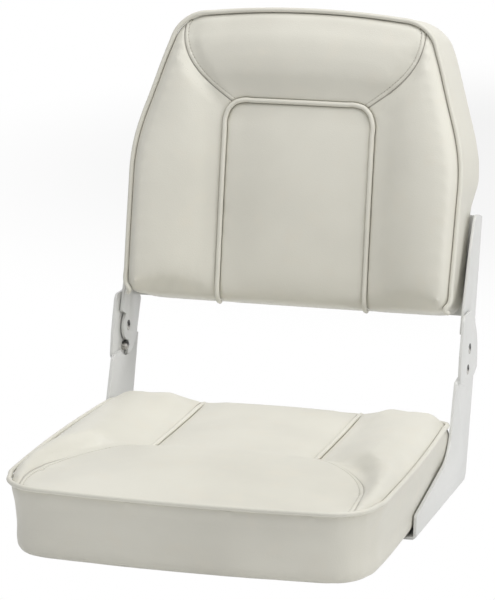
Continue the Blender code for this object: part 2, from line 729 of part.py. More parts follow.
def cheek(side, parent):
    """The rounded plate round the hinge, one thickness further out than the post."""
    top = pivot_z + cheek_height
    crease = pivot_z - pocket_radius
    rise = 6 * mm
    corners = [(pivot_y + cheek_rear, crease + rise), (pivot_y + cheek_rear, pivot_z + rise),
               (pivot_y + cheek_top_rear, top), (pivot_y - cheek_top_front, top),
               (pivot_y - cheek_front, pivot_z),
               (pivot_y - cheek_low_front, crease + rise), (pivot_y - cheek_foot, crease - 1 * mm),
               (pivot_y + cheek_foot, crease - 1 * mm)]
    radii = [5 * mm, cheek_rear_radius, 22 * mm, 9 * mm, cheek_front_radius, 7 * mm,
             cheek_foot_radius, cheek_foot_radius]
    outer = np.array(filleted(corners, radii))
    inner = outer.copy()
    low = outer[:, 1] < crease + 8 * mm
    inner[low, 1] -= cheek_crease
    count = len(outer)
    points = [(side * post_outer_x, y, z) for y, z in inner] + [(side * cheek_outer_x, y, z) for y, z in outer]
    faces = [tuple(range(count)), tuple(reversed(range(count, 2 * count)))]
    faces += [(i, (i + 1) % count, count + (i + 1) % count, count + i) for i in range(count)]
    return new_object("cheek", points, faces, paint(), parent)


def finish_plate(item):
    """Cleans the result of the booleans and shades it."""
    build = bmesh.new()
    build.from_mesh(item.data)
    bmesh.ops.remove_doubles(build, verts=build.verts, dist=0.000005)
    bmesh.ops.dissolve_degenerate(build, edges=build.edges, dist=0.000002)
    build.to_mesh(item.data)
    build.free()
    item.data.shade_smooth()
    item.data.set_sharp_from_angle(angle=30 * degree)


# Hinge fasteners, which stay with the lower arms

def hinge_fasteners(side, name, parent):
    pivot = lambda a, b, along: (side * along, pivot_y + a, pivot_z + b)
    stop = lambda a, b, along: (side * along, pivot_y + stop_offset[0] + a, pivot_z + stop_offset[1] + b)
    barrel, head = pivot_barrel_radius, pivot_head_radius
    bore = pivot_screw_radius + gap
    screw_seat = cheek_outer_x - (head - barrel)
    barrel_end = screw_seat - gap
    profile = [(head, arm_inner_x), (barrel, arm_inner_x + head - barrel), (barrel, barrel_end),
               (bore, barrel_end), (bore, arm_inner_x + pivot_head_depth),
               (0.4 * mm, arm_inner_x + pivot_head_depth)]
    sleeve = turned("pivot_sleeve_" + name, profile, pivot, steel(), parent)
    cross_recess(sleeve, side, arm_inner_x, 1, pivot_y, pivot_z, parent)
    tip = arm_inner_x + pivot_head_depth + gap
    profile = [(head, cheek_outer_x), (barrel, screw_seat),
               (pivot_screw_radius, screw_seat), (pivot_screw_radius, tip)]
    screw = turned("pivot_screw_" + name, profile, pivot, steel(), parent)
    hex_socket(screw, side, cheek_outer_x, pivot, parent)
    low = arm_outer_x + gap
    profile = [(barrel + gap, low), (washer_radius, low), (washer_radius, low + washer_thickness),
               (barrel + gap, low + washer_thickness), (barrel + gap, low)]
    turned("pivot_washer_" + name, profile, pivot, nylon(), parent)
    nut_outer = post_outer_x - gap
    nut_inner = nut_outer - stop_nut_length
    profile = [(stop_head_radius, cheek_outer_x),
               (stop_bolt_radius, cheek_outer_x - (stop_head_radius - stop_bolt_radius)),
               (stop_bolt_radius, nut_inner - 0.4 * mm)]
    bolt = turned("stop_bolt_" + name, profile, stop, steel(), parent)
    hex_socket(bolt, side, cheek_outer_x, stop, parent)
    corner = stop_nut_flats / 2 / math.cos(30 * degree)
    profile = [(corner, nut_outer), (corner, nut_inner + 1.8 * mm), (corner - 0.7 * mm, nut_inner + 1.4 * mm),
               (corner - 1.1 * mm, nut_inner)]
    nut = turned("stop_nut_" + name, profile, stop, steel(), parent, 6)
    bore = turned("bore", [(stop_bolt_radius + gap, nut_inner - cut_margin),
                           (stop_bolt_radius + gap, nut_outer + cut_margin)],
                  stop, steel(), parent, 20)
    boolean(nut, bore, "DIFFERENCE")


def hex_socket(item, side, face_x, place, parent):
    depth = 1.5 * mm
    profile = [(2.2 * mm, face_x - depth), (2.2 * mm, face_x + cut_margin)]
    boolean(item, turned("socket", profile, place, steel(), parent, 6), "DIFFERENCE")


def cross_recess(item, side, face_x, into, y, z, parent):
    """Two crossed slots in a screw's face."""
    long, short, depth = 3.4 * mm, 0.8 * mm, 1.1 * mm
    for half_y, half_z in ((long, short), (short, long)):
        corners = [(y - half_y, z - half_z), (y + half_y, z - half_z),
                   (y + half_y, z + half_z), (y - half_y, z + half_z)]
        slot = prism("slot", corners, face_x - cut_margin, face_x + into * depth, side_place(side), steel(), parent)
        boolean(item, slot, "DIFFERENCE")


# Upper arms, in the backrest's frame

def stop_in_back_frame():
    """The stop nut's place at rest, seen from the leaning backrest."""
    dy, dz = stop_offset
    lean_cos, lean_sin = math.cos(back_tilt), math.sin(back_tilt)
    return dy * lean_cos - dz * lean_sin, dy * lean_sin + dz * lean_cos


def upper_arm(side, name, parent):
    place = side_place(side)
    nut_y, nut_z = stop_in_back_frame()
    nut_reach = stop_nut_flats / 2 / math.cos(30 * degree)
    stop_face = nut_y + nut_reach + gap
    relief = math.hypot(nut_y, nut_z) - nut_reach - 2 * gap
    folded_nut_z = -nut_y * math.sin(fold_range) + nut_z * math.cos(fold_range)
    horn_height = folded_nut_z + nut_reach + 4 * gap
    end = arm_end_radius
    end_angle = -math.acos(stop_face / end) / degree
    relief_low = -math.acos(stop_face / relief) / degree
    relief_high = -(180 + math.asin(horn_height / relief) / degree)
    plate_rear = arm_flange_outer - bend_radius + 0.2 * mm
    outline = arc((0, 0), end, end_angle, 0, 18)
    flange_low = back_bottom_above + 2.5 * mm
    outline += filleted([(arm_flange_outer - 1 * mm, back_bottom_above - 1 * mm), (plate_rear, flange_low),
                         (plate_rear, arm_height), (-arm_top_front, arm_height),
                         (-arm_front_high, arm_front_bend),
                         (-arm_front_low, flange_low), (-arm_horn_reach, horn_height)],
                        [0, 0, 0, arm_top_round, arm_front_radius, arm_low_radius, plate_thickness])
    outline += arc((0, 0), relief, relief_high, relief_low, 16)
    arm = prism("upper_arm_" + name, outline, arm_inner_x, arm_outer_x, place, paint(), parent)
    inner = arm_flange_behind
    ell = filleted([(arm_outer_x, inner - bend_radius), (arm_outer_x, arm_flange_outer),
                    (arm_outer_x - arm_flange_width, arm_flange_outer), (arm_outer_x - arm_flange_width, inner),
                    (arm_inner_x, inner), (arm_inner_x, inner - bend_radius)],
                   [0, bend_radius, 0, 0, bend_radius - plate_thickness, 0], 5)
    flange = prism("flange", ell, flange_low, arm_height,
                   lambda a, b, depth: (side * a, b, depth), paint(), parent)
    boolean(arm, flange, "UNION")
    axis = lambda a, b, along: (side * along, a, b)
    radius, head = pivot_barrel_radius, pivot_head_radius
    profile = [(head + gap, arm_inner_x - cut_margin), (head + gap, arm_inner_x),
               (radius + gap, arm_inner_x + head - radius),
               (radius + gap, arm_outer_x + cut_margin)]
    boolean(arm, turned("hole", profile, axis, paint(), parent), "DIFFERENCE")
    for height in arm_screw_heights:
        screw = lambda a, b, along, height=height: (side * arm_screw_x + a, along, height + b)
        radius = arm_screw_radius + gap
        profile = [(radius, arm_flange_behind - cut_margin), (radius, arm_flange_outer + cut_margin)]
        boolean(arm, turned("hole", profile, screw, paint(), parent, 16), "DIFFERENCE")
    finish_plate(arm)


# Backrest

def back_half_outline():
    """The right half of the face welt in (x, height), from the middle of the bottom to that of the top."""
    bottom_half = back_bottom_width / 2
    corner_height = back_height - back_top_bow
    corners = [(0, 0), (bottom_half, 0), (back_width / 2, back_shoulder_height),
               (back_top_width / 2, corner_height), (0, corner_height)]
    radii = [0, back_bottom_corner, back_shoulder_radius, back_top_corner, 0]
    outline = []
    for (x, h), (next_x, next_h) in zip(filleted(corners, radii, 14), filleted(corners, radii, 14)[1:]):
        steps = max(1, int(math.hypot(next_x - x, next_h - h) / (2 * mm)))
        outline += [(x + (next_x - x) * k / steps, h + (next_h - h) * k / steps) for k in range(steps)]
    outline.append((0, corner_height))
    top_half = back_top_width / 2
    bowed = []
    for x, h in outline:
        above = np.clip((h - back_shoulder_height) / (corner_height - back_shoulder_height), 0, 1)
        bowed.append((x, h + back_top_bow * above ** 4 * (1 - min(1, x / top_half) ** 2)))
    return np.array(bowed)


def back_arch():
    """The right half of the piped arch, from the bottom edge to the middle of its top."""
    half = back_panel_width / 2
    corner = back_panel_corner
    leg = [(half, h) for h in np.linspace(0, back_panel_height - corner, 60)]
    turn = arc((half - corner, back_panel_height - corner), corner, 0, 90, 20)[1:]
    top = [(x, back_panel_height) for x in np.linspace(half - corner, 0, 30)[1:]]
    return np.array(leg + turn + top)


back_across, back_along, back_bolster_rows = 12, 13, 5


def back_ring(loop, normal, offset, depth):
    """A ring of the backrest: plan loop offset outwards, at a depth behind the hinge axis."""
    plan = loop + normal * np.asarray(offset).reshape(-1, 1)
    return np.stack([plan[:, 0], np.broadcast_to(depth, len(loop)), plan[:, 1] + back_bottom_above], 1)


def back_loop():
    half = back_half_outline()
    leg_x = back_panel_width / 2
    bottom_corner = half[int(np.argmax(half @ np.array((1.0, -1.0))))]
    top_corner = half[int(np.argmax(half @ np.array((0.62, 0.78))))]
    bottom = resampled(cut_path(half, (0, 0), (leg_x, 0)), back_across // 2)
    bottom_side = resampled(cut_path(half, (leg_x, 0), bottom_corner), back_bolster_rows, corner_bend)
    side = resampled(cut_path(half, bottom_corner, top_corner), back_along, corner_bend)
    top = resampled(cut_path(half, top_corner, (0, back_height)), back_across // 2, corner_bend)
    bottom[-1] = bottom_side[0] = (leg_x, 0)
    bottom[-2, 0] = leg_x - 1.2 * seam_groove
    bottom_side[1, 0] = leg_x + 1.2 * seam_groove
    right = np.concatenate([bottom, bottom_side[1:], side[1:], top[1:]])
    return np.concatenate([right, mirrored(right[1:-1][::-1])])


def backrest_cushion(parent):
    loop = back_loop()
    normal = outward(loop)
    count = len(loop)
    roll, edge_depth = back_lower_edge(loop, normal)
    edge = back_ring(loop, normal, mixed(-3.3 * mm, -back_roll_radius, roll), edge_depth)
    half = back_across // 2
    leg_start = half
    side_start = half + back_bolster_rows
    top_start = side_start + back_along
    bottom_middle = np.concatenate([edge[-half:], edge[:half + 1]])
    bottom_right = edge[leg_start:side_start + 1]
    right_side = edge[side_start:top_start + 1]
    top = edge[top_start:top_start + back_across + 1]

    arch = back_arch()
    diagonal_start = arch[int(np.argmax(arch @ np.array((0.62, 0.78))))]
    leg = resampled(cut_path(arch, arch[0], diagonal_start), back_along)
    arch_top = resampled(cut_path(arch, diagonal_start, arch[-1]), half)

    def lifted(plan, low):
        depth = back_face + back_recess + (back_low_recess - back_recess) * low
        return np.stack([plan[:, 0], np.broadcast_to(depth, len(plan)), plan[:, 1] + back_bottom_above], 1)

    share = np.linspace(0, 1, len(leg))
    leg[0] = (edge[leg_start][0], edge[leg_start][2] - back_bottom_above)
    leg = resampled(np.concatenate([leg[:1], leg[leg[:, 1] > leg[0, 1] + 1 * mm]]), back_along)
    leg = lifted(leg, (1 - share) ** 1.3)
    leg[0] = edge[leg_start]
    arch_top = lifted(arch_top, 0)
    left_leg, left_top = leg * (-1, 1, 1), arch_top * (-1, 1, 1)
    corner = top[0]
    diagonal = bezier(leg[-1], leg[-1] + (30 * mm, 0, 22 * mm),
                      corner + (2 * mm, 0, -50 * mm), corner, back_bolster_rows)
    whole_top = np.concatenate([left_top, arch_top[::-1][1:]])

    pad = Pad()
    across = np.linspace(0, 1, back_across + 1)[None, :]
    along = np.linspace(0, 1, back_along + 1)[:, None]
    middle = patch(bottom_middle, whole_top, left_leg, leg)
    middle[..., 1] -= back_crown * padded_shape(across) * padded_shape(along, 0.3)
    middle = back_grooved(middle, (0, 1), (-1, -2), top=True)
    pad.grid(middle)
    across = np.linspace(0, 1, back_bolster_rows + 1)[None, :]
    bolster = patch(bottom_right, diagonal, leg, right_side)
    bolster[..., 1] -= back_bolster_crown * padded_shape(across) * padded_shape(along, 0.25)
    bolster = back_grooved(bolster, (0, 1), None)
    pad.grid(bolster)
    pad.grid(bolster * (-1, 1, 1))
    across = np.linspace(0, 1, back_across + 1)[None, :]
    along = np.linspace(0, 1, back_bolster_rows + 1)[:, None]
    head = patch(whole_top, top[::-1], diagonal * (-1, 1, 1), diagonal)
    head[..., 1] -= back_head_crown * padded_shape(along) * padded_shape(across, 0.25)
    head = back_grooved(np.swapaxes(head, 0, 1), (0, 1), None, first=0)
    pad.grid(head)

    legs = np.zeros(count, bool)
    legs[[leg_start, -leg_start]] = True
    sink = np.where(legs, piped_depth, 0)
    wrap = [edge[legs]]
    walls = [edge + np.stack([0 * sink, sink, 0 * sink], 1)]
    for turn, out, behind in ((35, -2.6 * mm, 2.8 * mm), (65, -0.7 * mm, 4.2 * mm)):
        lean, rise = math.cos(turn * degree), math.sin(turn * degree)
        inset = mixed(out, -back_roll_radius * (1 - rise), roll)
        deep = edge_depth + mixed(behind, back_roll_radius * (1 - lean), roll)
        wrap.append(back_ring(loop, normal, inset, deep)[legs])
        walls.append(back_ring(loop, normal, inset - sink * rise, deep + sink * lean))
    depth = back_rear - edge_depth
    bulge = back_bulge(loop, normal)
    for share, out, puff in ((0.25, 0.3 * mm, 0.5), (0.48, 0.9 * mm, 0.9), (0.74, 0, 1)):
        wrap.append(back_ring(loop, normal, 0, edge_depth + depth * share)[legs])
        walls.append(back_ring(loop, normal, out + bulge * puff - sink, edge_depth + depth * share))
        sink = sink * (share < 0.3)
    for turn in (40, 90):
        inward = back_rear_round * (1 - math.cos(turn * degree))
        behind = back_rear - back_rear_round * (1 - math.sin(turn * degree))
        walls.append(back_ring(loop, normal, -inward + bulge * math.cos(turn * degree), behind))
    walls.append(back_ring(loop, normal, -back_board_inset, back_rear))
    walls.append(back_ring(loop, normal, -back_board_inset, back_pocket_front))
    last = pad.rings(walls)
    pad.cap(last, count)
    new_object("backrest_cushion", pad.points, pad.faces, vinyl(), parent, 50 * degree)
    under = np.array([ring[ring[:, 0] > 0][0] for ring in wrap[1:4]])
    return loop, normal, under, leg, arch_top


def mixed(first, second, share):
    return first + (second - first) * share


def back_lower_edge(loop, normal):
    """How far the lower edge is rolled at each point of the loop, and the depth of the face's edge."""
    along_bottom = normal[:, 1] < -0.98
    from_corner = back_bottom_width / 2 - np.abs(loop[:, 0])
    roll = np.where(along_bottom, np.clip(from_corner / back_roll_fade, 0, 1), 0)
    full = (back_bottom_width - back_panel_width) / 2
    low = np.where(along_bottom, np.clip(from_corner / full, 0, 1), 0)
    return roll, back_face - 0.8 * mm * (1 - roll) + back_low_recess * low * low * (3 - 2 * low)


def back_bulge(loop, normal):
    """How far the boxing bulges at each point of the loop: at the sides above the arms, and on top."""
    above = np.clip((loop[:, 1] + back_bottom_above - arm_height - 4 * mm) / (40 * mm), 0, 1)
    above = above * above * (3 - 2 * above)
    upwards = np.clip(normal[:, 1], 0, 1)
    return above * (back_side_bulge + (back_top_bulge - back_side_bulge) * upwards)


def back_grooved(grid, low, high, first=1, top=False):
    """Makes room under the piped arch, and beside it from a first row on."""
    grid = grid.copy()
    last = len(grid) - 1 if top else len(grid)
    for pair in (low, high):
        if pair is None:
            continue
        near, following = pair
        step = grid[:, following] - grid[:, near]
        beside = beside_seam(grid[:, near], step, (0, 2))
        beside[:, 1] = grid[:, near, 1]
        grid[first:last, following] = beside[first:last]
    if top:
        step = grid[-2] - grid[-1]
        beside = beside_seam(grid[-1], step, (0, 2))
        beside[:, 1] = grid[-1, :, 1]
        grid[-2, 1:-1] = beside[1:-1]
        grid[-1, :, 1] += piped_depth
        grid[:-1, 0, 1] += piped_depth
        grid[:-1, -1, 1] += piped_depth
    else:
        grid[:, 0, 1] += piped_depth
    return grid


def backrest_parts(parent):
    loop, normal, under, leg, arch_top = backrest_cushion(parent)
    side_start = back_across // 2 + back_bolster_rows
    side_end = len(loop) - side_start
    face = back_ring(loop, normal, 0, back_face)
    run = face[side_start:side_end + 1]
    start, end = run[0], run[-1]
    tail = [(2 * mm, 2.2 * mm), (5 * mm, 3.3 * mm), (12 * mm, 3.6 * mm),
            (30 * mm, 4.0 * mm), (55 * mm, 4.1 * mm)]
    start_out, end_out = normal[side_start], normal[side_end]
    start_tail = [start + (start_out[0] * out, behind, start_out[1] * out) for behind, out in tail[::-1]]
    end_tail = [end + (end_out[0] * out, behind, end_out[1] * out) for behind, out in tail]
    tube("backrest_welt", np.concatenate([start_tail, run, end_tail]), vinyl(), parent, closed=False)
    lift = [(0, 0, -1), (0, -0.4, -0.9), (0, -0.8, -0.6)] + [(0, -1, 0)] * (len(leg) + len(arch_top) - 1)
    half = np.concatenate([under[::-1], leg, arch_top[1:]]) + seam_welt_lift * np.array(lift)
    arch = np.concatenate([half, (half * (-1, 1, 1))[::-1][1:]])
    tube("backrest_arch_welt", arch, vinyl(), parent, closed=False)
    place = lambda a, b, depth: (a, depth, b + back_bottom_above)
    board = prism("backrest_board", loop + normal * -(back_board_inset + gap), back_board_front, back_board_rear,
                  place, plywood(), parent)
    panel = prism("backrest_rear_panel", loop + normal * -rear_panel_inset, rear_panel_inner, rear_panel_outer,
                  place, vinyl(), parent)
    for side, name in ((1, "right"), (-1, "left")):
        for number, height in enumerate(arm_screw_heights, 1):
            place = lambda a, b, along, side=side, height=height: (side * arm_screw_x + a, along, height + b)
            radius = arm_screw_radius + gap
            for plate in (board, panel):
                profile = [(radius, back_board_front - cut_margin), (radius, rear_panel_outer + cut_margin)]
                boolean(plate, turned("hole", profile, place, steel(), parent, 16), "DIFFERENCE")
            under = arm_flange_outer + gap
            profile = [(arm_screw_radius, under - arm_screw_length), (arm_screw_radius, under),
                       (arm_screw_head_radius, under),
                       (arm_screw_head_radius * 0.9, under + arm_screw_head_height * 0.6),
                       (arm_screw_head_radius * 0.55, under + arm_screw_head_height)]
            turned("arm_screw_%s_%d" % (name, number), profile, place, steel(), parent, 16)


def centre_on_origin(root):
    """Puts the middle of the part's box over the origin, with its lowest point at z = 0."""
    bpy.context.view_layer.update()
    corners = []
    for item in bpy.context.scene.objects:
        if item.type == "MESH" and not item.hide_render:
            corners += [item.matrix_world @ vertex.co for vertex in item.data.vertices]
    low = [min(c[k] for c in corners) for k in range(3)]
    high = [max(c[k] for c in corners) for k in range(3)]
    root.location = (-(low[0] + high[0]) / 2, -(low[1] + high[1]) / 2, -low[2])
    bpy.context.view_layer.update()


def main():
    clear_scene()
    root = empty("seat_frame")
    hinge = empty("backrest_hinge", root, (0, pivot_y, pivot_z))
    backrest = empty("backrest_frame", hinge, rotation=(-back_tilt, 0, 0))
    seat_parts(root)
    backrest_parts(backrest)
    for side, name in ((1, "right"), (-1, "left")):
        lower_arm(side, name, root)
        hinge_fasteners(side, name, root)
        upper_arm(side, name, backrest)
    centre_on_origin(root)
    print("hinge axis at", tuple(round(c, 6) for c in hinge.matrix_world.translation))


main()
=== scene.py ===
# Folding boat seat: the padded covers, piping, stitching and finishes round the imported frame.
import json
import math

import bmesh
import bpy
import numpy as np
from mathutils import Matrix, Vector
from mathutils.bvhtree import BVHTree
from mathutils.kdtree import KDTree


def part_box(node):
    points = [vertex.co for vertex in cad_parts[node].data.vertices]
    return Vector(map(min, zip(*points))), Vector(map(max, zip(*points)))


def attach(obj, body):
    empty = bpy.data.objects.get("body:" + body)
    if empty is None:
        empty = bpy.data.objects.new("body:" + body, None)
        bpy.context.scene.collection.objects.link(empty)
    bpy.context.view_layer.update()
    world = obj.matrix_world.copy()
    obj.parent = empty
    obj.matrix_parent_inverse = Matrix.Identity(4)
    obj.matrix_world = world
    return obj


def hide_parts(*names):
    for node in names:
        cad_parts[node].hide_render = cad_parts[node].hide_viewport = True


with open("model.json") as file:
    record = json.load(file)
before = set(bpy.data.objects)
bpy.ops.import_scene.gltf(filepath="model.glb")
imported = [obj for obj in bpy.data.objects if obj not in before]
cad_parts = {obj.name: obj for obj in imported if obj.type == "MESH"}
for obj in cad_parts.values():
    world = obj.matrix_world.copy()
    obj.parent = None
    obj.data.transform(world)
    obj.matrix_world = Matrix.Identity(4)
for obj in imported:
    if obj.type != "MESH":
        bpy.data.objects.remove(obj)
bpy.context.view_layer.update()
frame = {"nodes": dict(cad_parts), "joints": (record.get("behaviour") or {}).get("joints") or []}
mm = 0.001

hinge = Vector(frame["joints"][0]["pos_m"])
backLean = math.radians(15)  # the backrest leans back by this much at rest
backToWorld = Matrix.Translation(hinge) @ Matrix.Rotation(-backLean, 4, "X")
worldToBack = backToWorld.inverted()
backFacing = (backToWorld.to_3x3() @ Vector((0, -1, 0))).normalized()  # the way the backrest's face looks
upwards = Vector((0, 0, 1))


# Handling of pieces

def alone(piece):
    bpy.ops.object.select_all(action="DESELECT")
    piece.select_set(True)
    bpy.context.view_layer.objects.active = piece


def applied(piece, kind, **settings):  # adds a modifier and applies it
    step = piece.modifiers.new(kind.lower(), kind)
    for name, value in settings.items():
        setattr(step, name, value)
    alone(piece)
    bpy.ops.object.modifier_apply(modifier=step.name)


def nodeCopy(node, name):  # a CAD node's mesh as a piece of its own, with its loose triangles joined
    piece = bpy.data.objects.new(name, frame["nodes"][node].data.copy())
    bpy.context.collection.objects.link(piece)
    piece.data.materials.clear()
    build = bmesh.new()
    build.from_mesh(piece.data)
    bmesh.ops.remove_doubles(build, verts=build.verts, dist=0.01 * mm)
    build.to_mesh(piece.data)
    build.free()
    return piece


def coordinates(piece):
    values = np.empty(len(piece.data.vertices) * 3)
    piece.data.vertices.foreach_get("co", values)
    return values.reshape(-1, 3)


def moveVertices(piece, points):
    piece.data.vertices.foreach_set("co", np.asarray(points, dtype=np.float32).ravel())
    piece.data.update()


def vertexNormals(piece):
    values = np.empty(len(piece.data.vertices) * 3, dtype=np.float32)
    piece.data.vertices.foreach_get("normal", values)
    return values.reshape(-1, 3).astype(float)


def ownTree(piece):
    mesh = piece.data
    return BVHTree.FromPolygons([v.co for v in mesh.vertices], [p.vertices for p in mesh.polygons])


def dressed(piece, body, finish, slotName, *nodes):  # what every finished piece needs
    piece.data.materials.clear()
    piece.data.materials.append(finish)
    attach(piece, body)
    if nodes:
        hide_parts(*nodes)


# Lines that the cords and seams follow

cord = {"radius": 2.7 * mm, "sides": 8}


def cordLine(node):  # the middle line of a CAD cord, from the centres of its rings
    build = bmesh.new()
    build.from_mesh(frame["nodes"][node].data)
    bmesh.ops.remove_doubles(build, verts=build.verts, dist=0.01 * mm)
    build.verts.ensure_lookup_table()
    ringEdge = 2 * cord["radius"] * math.sin(math.pi / cord["sides"])
    ring = list(range(len(build.verts)))

    def root(i):
        while ring[i] != i:
            i = ring[i]
        return i

    links = []
    for edge in build.edges:
        a, b = (v.index for v in edge.verts)
        if abs(edge.calc_length() - ringEdge) < 0.01 * mm:
            ring[root(a)] = root(b)
        else:
            links.append((a, b))
    members = {}
    for i in range(len(ring)):
        members.setdefault(root(i), []).append(build.verts[i].co.copy())
    near = {key: set() for key in members}
    for a, b in links:
        if root(a) != root(b):
            near[root(a)].add(root(b))
            near[root(b)].add(root(a))
    build.free()
    ends = [key for key in members if len(near[key]) == 1]
    here = min(ends, key=lambda key: members[key][0].x) if ends else min(members)
    order, before = [here], None
    while True:
        onward = [key for key in near[here] if key != before and key not in order]
        if not onward:
            break
        before, here = here, onward[0]
        order.append(here)
    return [sum(members[key], Vector()) / len(members[key]) for key in order], not ends


def curveThrough(points, closed, name="line"):
    curve = bpy.data.curves.new(name, "CURVE")
    curve.dimensions = "3D"
    curve.resolution_u = 8
    spline = curve.splines.new("BEZIER")
    spline.bezier_points.add(len(points) - 1)
    for point, place in zip(spline.bezier_points, points):
        point.co = place
        point.handle_left_type = point.handle_right_type = "AUTO"
    spline.use_cyclic_u = closed
    line = bpy.data.objects.new(name, curve)
    bpy.context.collection.objects.link(line)
    return line


def smoothLine(points, closed=False, spacing=0.6 * mm):  # evenly spaced points on a curve through those given
    line = curveThrough(points, closed)
    dense = np.array([tuple(v.co) for v in line.to_mesh().vertices])
    bpy.data.objects.remove(line, do_unlink=True)
    if closed:
        dense = np.vstack([dense, dense[:1]])
    runs = np.concatenate([[0], np.cumsum(np.linalg.norm(np.diff(dense, axis=0), axis=1))])
    wanted = np.linspace(0, runs[-1], max(2, int(runs[-1] / spacing)))
    return np.stack([np.interp(wanted, runs, dense[:, k]) for k in range(3)], 1)


def tangents(line):
    along = np.gradient(line, axis=0)
    return along / np.linalg.norm(along, axis=1)[:, None]


def nearLine(points, line, reach):  # distance, run and offset of each point that lies within reach of a line
    tree = KDTree(len(line))
    for i, place in enumerate(line):
        tree.insert(place, i)
    tree.balance()
    runs = np.concatenate([[0], np.cumsum(np.linalg.norm(np.diff(line, axis=0), axis=1))])
    gap = np.full(len(points), 1.0)
    run = np.zeros(len(points))
    offset = np.zeros((len(points), 3))
    direction = np.zeros((len(points), 3))
    along = tangents(line)
    low, high = line.min(0) - reach, line.max(0) + reach
    for i in np.nonzero(np.all((points > low) & (points < high), axis=1))[0]:
        place, k, distance = tree.find(points[i])
        if distance < reach:
            gap[i], run[i], offset[i], direction[i] = distance, runs[k], points[i] - line[k], along[k]
    return gap, run, offset, direction


def drapedLine(plan, tree, towards, away=0.3):  # lays a line on a surface, along a direction
    laid = []
    for place in plan:
        hit = tree.ray_cast(Vector(place) - towards * away, towards)[0]
        laid.append(tuple(hit) if hit else tuple(place))
    return np.array(laid)


def bezierPlan(start, startHandle, endHandle, end, count=60):
    t = np.linspace(0, 1, count)[:, None]
    start, startHandle, endHandle, end = (np.array(p, float) for p in (start, startHandle, endHandle, end))
    return ((1 - t) ** 3 * start + 3 * (1 - t) ** 2 * t * startHandle
            + 3 * (1 - t) * t ** 2 * endHandle + t ** 3 * end)


# Materials

class Wire:  # a socket that takes sums, so that shader maths reads as plain expressions
    def __init__(self, graph, socket):
        self.graph, self.socket = graph, socket

    def maths(self, operation, *others):
        return self.graph.node("Math", {"operation": operation}, self, *others).out()

    def __add__(self, other):
        return self.maths("ADD", other)

    def __radd__(self, other):
        return self.maths("ADD", other)

    def __mul__(self, other):
        return self.maths("MULTIPLY", other)

    def __rmul__(self, other):
        return self.maths("MULTIPLY", other)

    def __sub__(self, other):
        return self.maths("SUBTRACT", other)

    def __rsub__(self, other):
        return self.graph.node("Math", {"operation": "SUBTRACT"}, other, self).out()

    def __truediv__(self, other):
        return self.maths("DIVIDE", other)

    def fade(self, low, high):  # 0 below low and 1 above high, or the other way round
        ramp = self.graph.node("MapRange", {"interpolation_type": "SMOOTHSTEP"},
                               Value=self, **{"From Min": low, "From Max": high})
        return ramp.out("Result")

    def size(self):
        return self.maths("ABSOLUTE")


class Made:
    def __init__(self, graph, node):
        self.graph, self.shader = graph, node

    def out(self, name=None):
        socket = self.shader.outputs[name] if name else next(s for s in self.shader.outputs if s.enabled)
        return Wire(self.graph, socket)


class Finish:
    def __init__(self, name):
        self.material = bpy.data.materials.new(name)
        self.material.use_nodes = True
        self.tree = self.material.node_tree
        self.tree.nodes.clear()

    def node(self, kind, settings=None, *values, **named):
        made = self.tree.nodes.new("ShaderNode" + kind)
        for name, value in (settings or {}).items():
            setattr(made, name, value)
        sockets = [s for s in made.inputs if s.enabled]
        byName = [(self.enabledInput(made, n), v) for n, v in named.items()]
        for socket, value in list(zip(sockets, values)) + byName:
            if isinstance(value, Wire):
                self.tree.links.new(value.socket, socket)
            elif value is not None:
                socket.default_value = (*value, 1) if socket.type == "RGBA" and len(value) == 3 else value
        return Made(self, made)

    def enabledInput(self, made, name):
        return next(s for s in made.inputs if s.name == name and s.enabled)

    def place(self):
        return self.node("TexCoord").out("Object")

    def attribute(self, name):
        return self.node("Attribute", {"attribute_name": name}).out("Fac")

    def noise(self, scale, detail=2.0, roughness=0.5):
        made = self.node("TexNoise", {}, Vector=self.place(), Scale=scale, Detail=detail, Roughness=roughness)
        return made.out("Fac")

    def streaks(self, stretch, scale, detail):  # noise that is drawn out along an axis
        stretched = self.node("Mapping", {}, Vector=self.place(), Scale=stretch).out()
        return self.node("TexNoise", {}, Vector=stretched, Scale=scale, Detail=detail).out("Fac")

    def cells(self, scale):
        return self.node("TexVoronoi", {"feature": "F1"}, Vector=self.place(), Scale=scale).out("Distance")

    def blend(self, factor, first, second):
        return self.node("Mix", {"data_type": "RGBA"}, Factor=factor, A=first, B=second).out()

    def bump(self, height, distance, strength):
        return self.node("Bump", {}, Height=height, Distance=distance, Strength=strength).out("Normal")

    def surface(self, **sockets):
        shader = self.node("BsdfPrincipled", {}, **{name.replace("_", " "): v for name, v in sockets.items()})
        self.node("OutputMaterial", {}, Surface=shader.out("BSDF"))
        return self.material


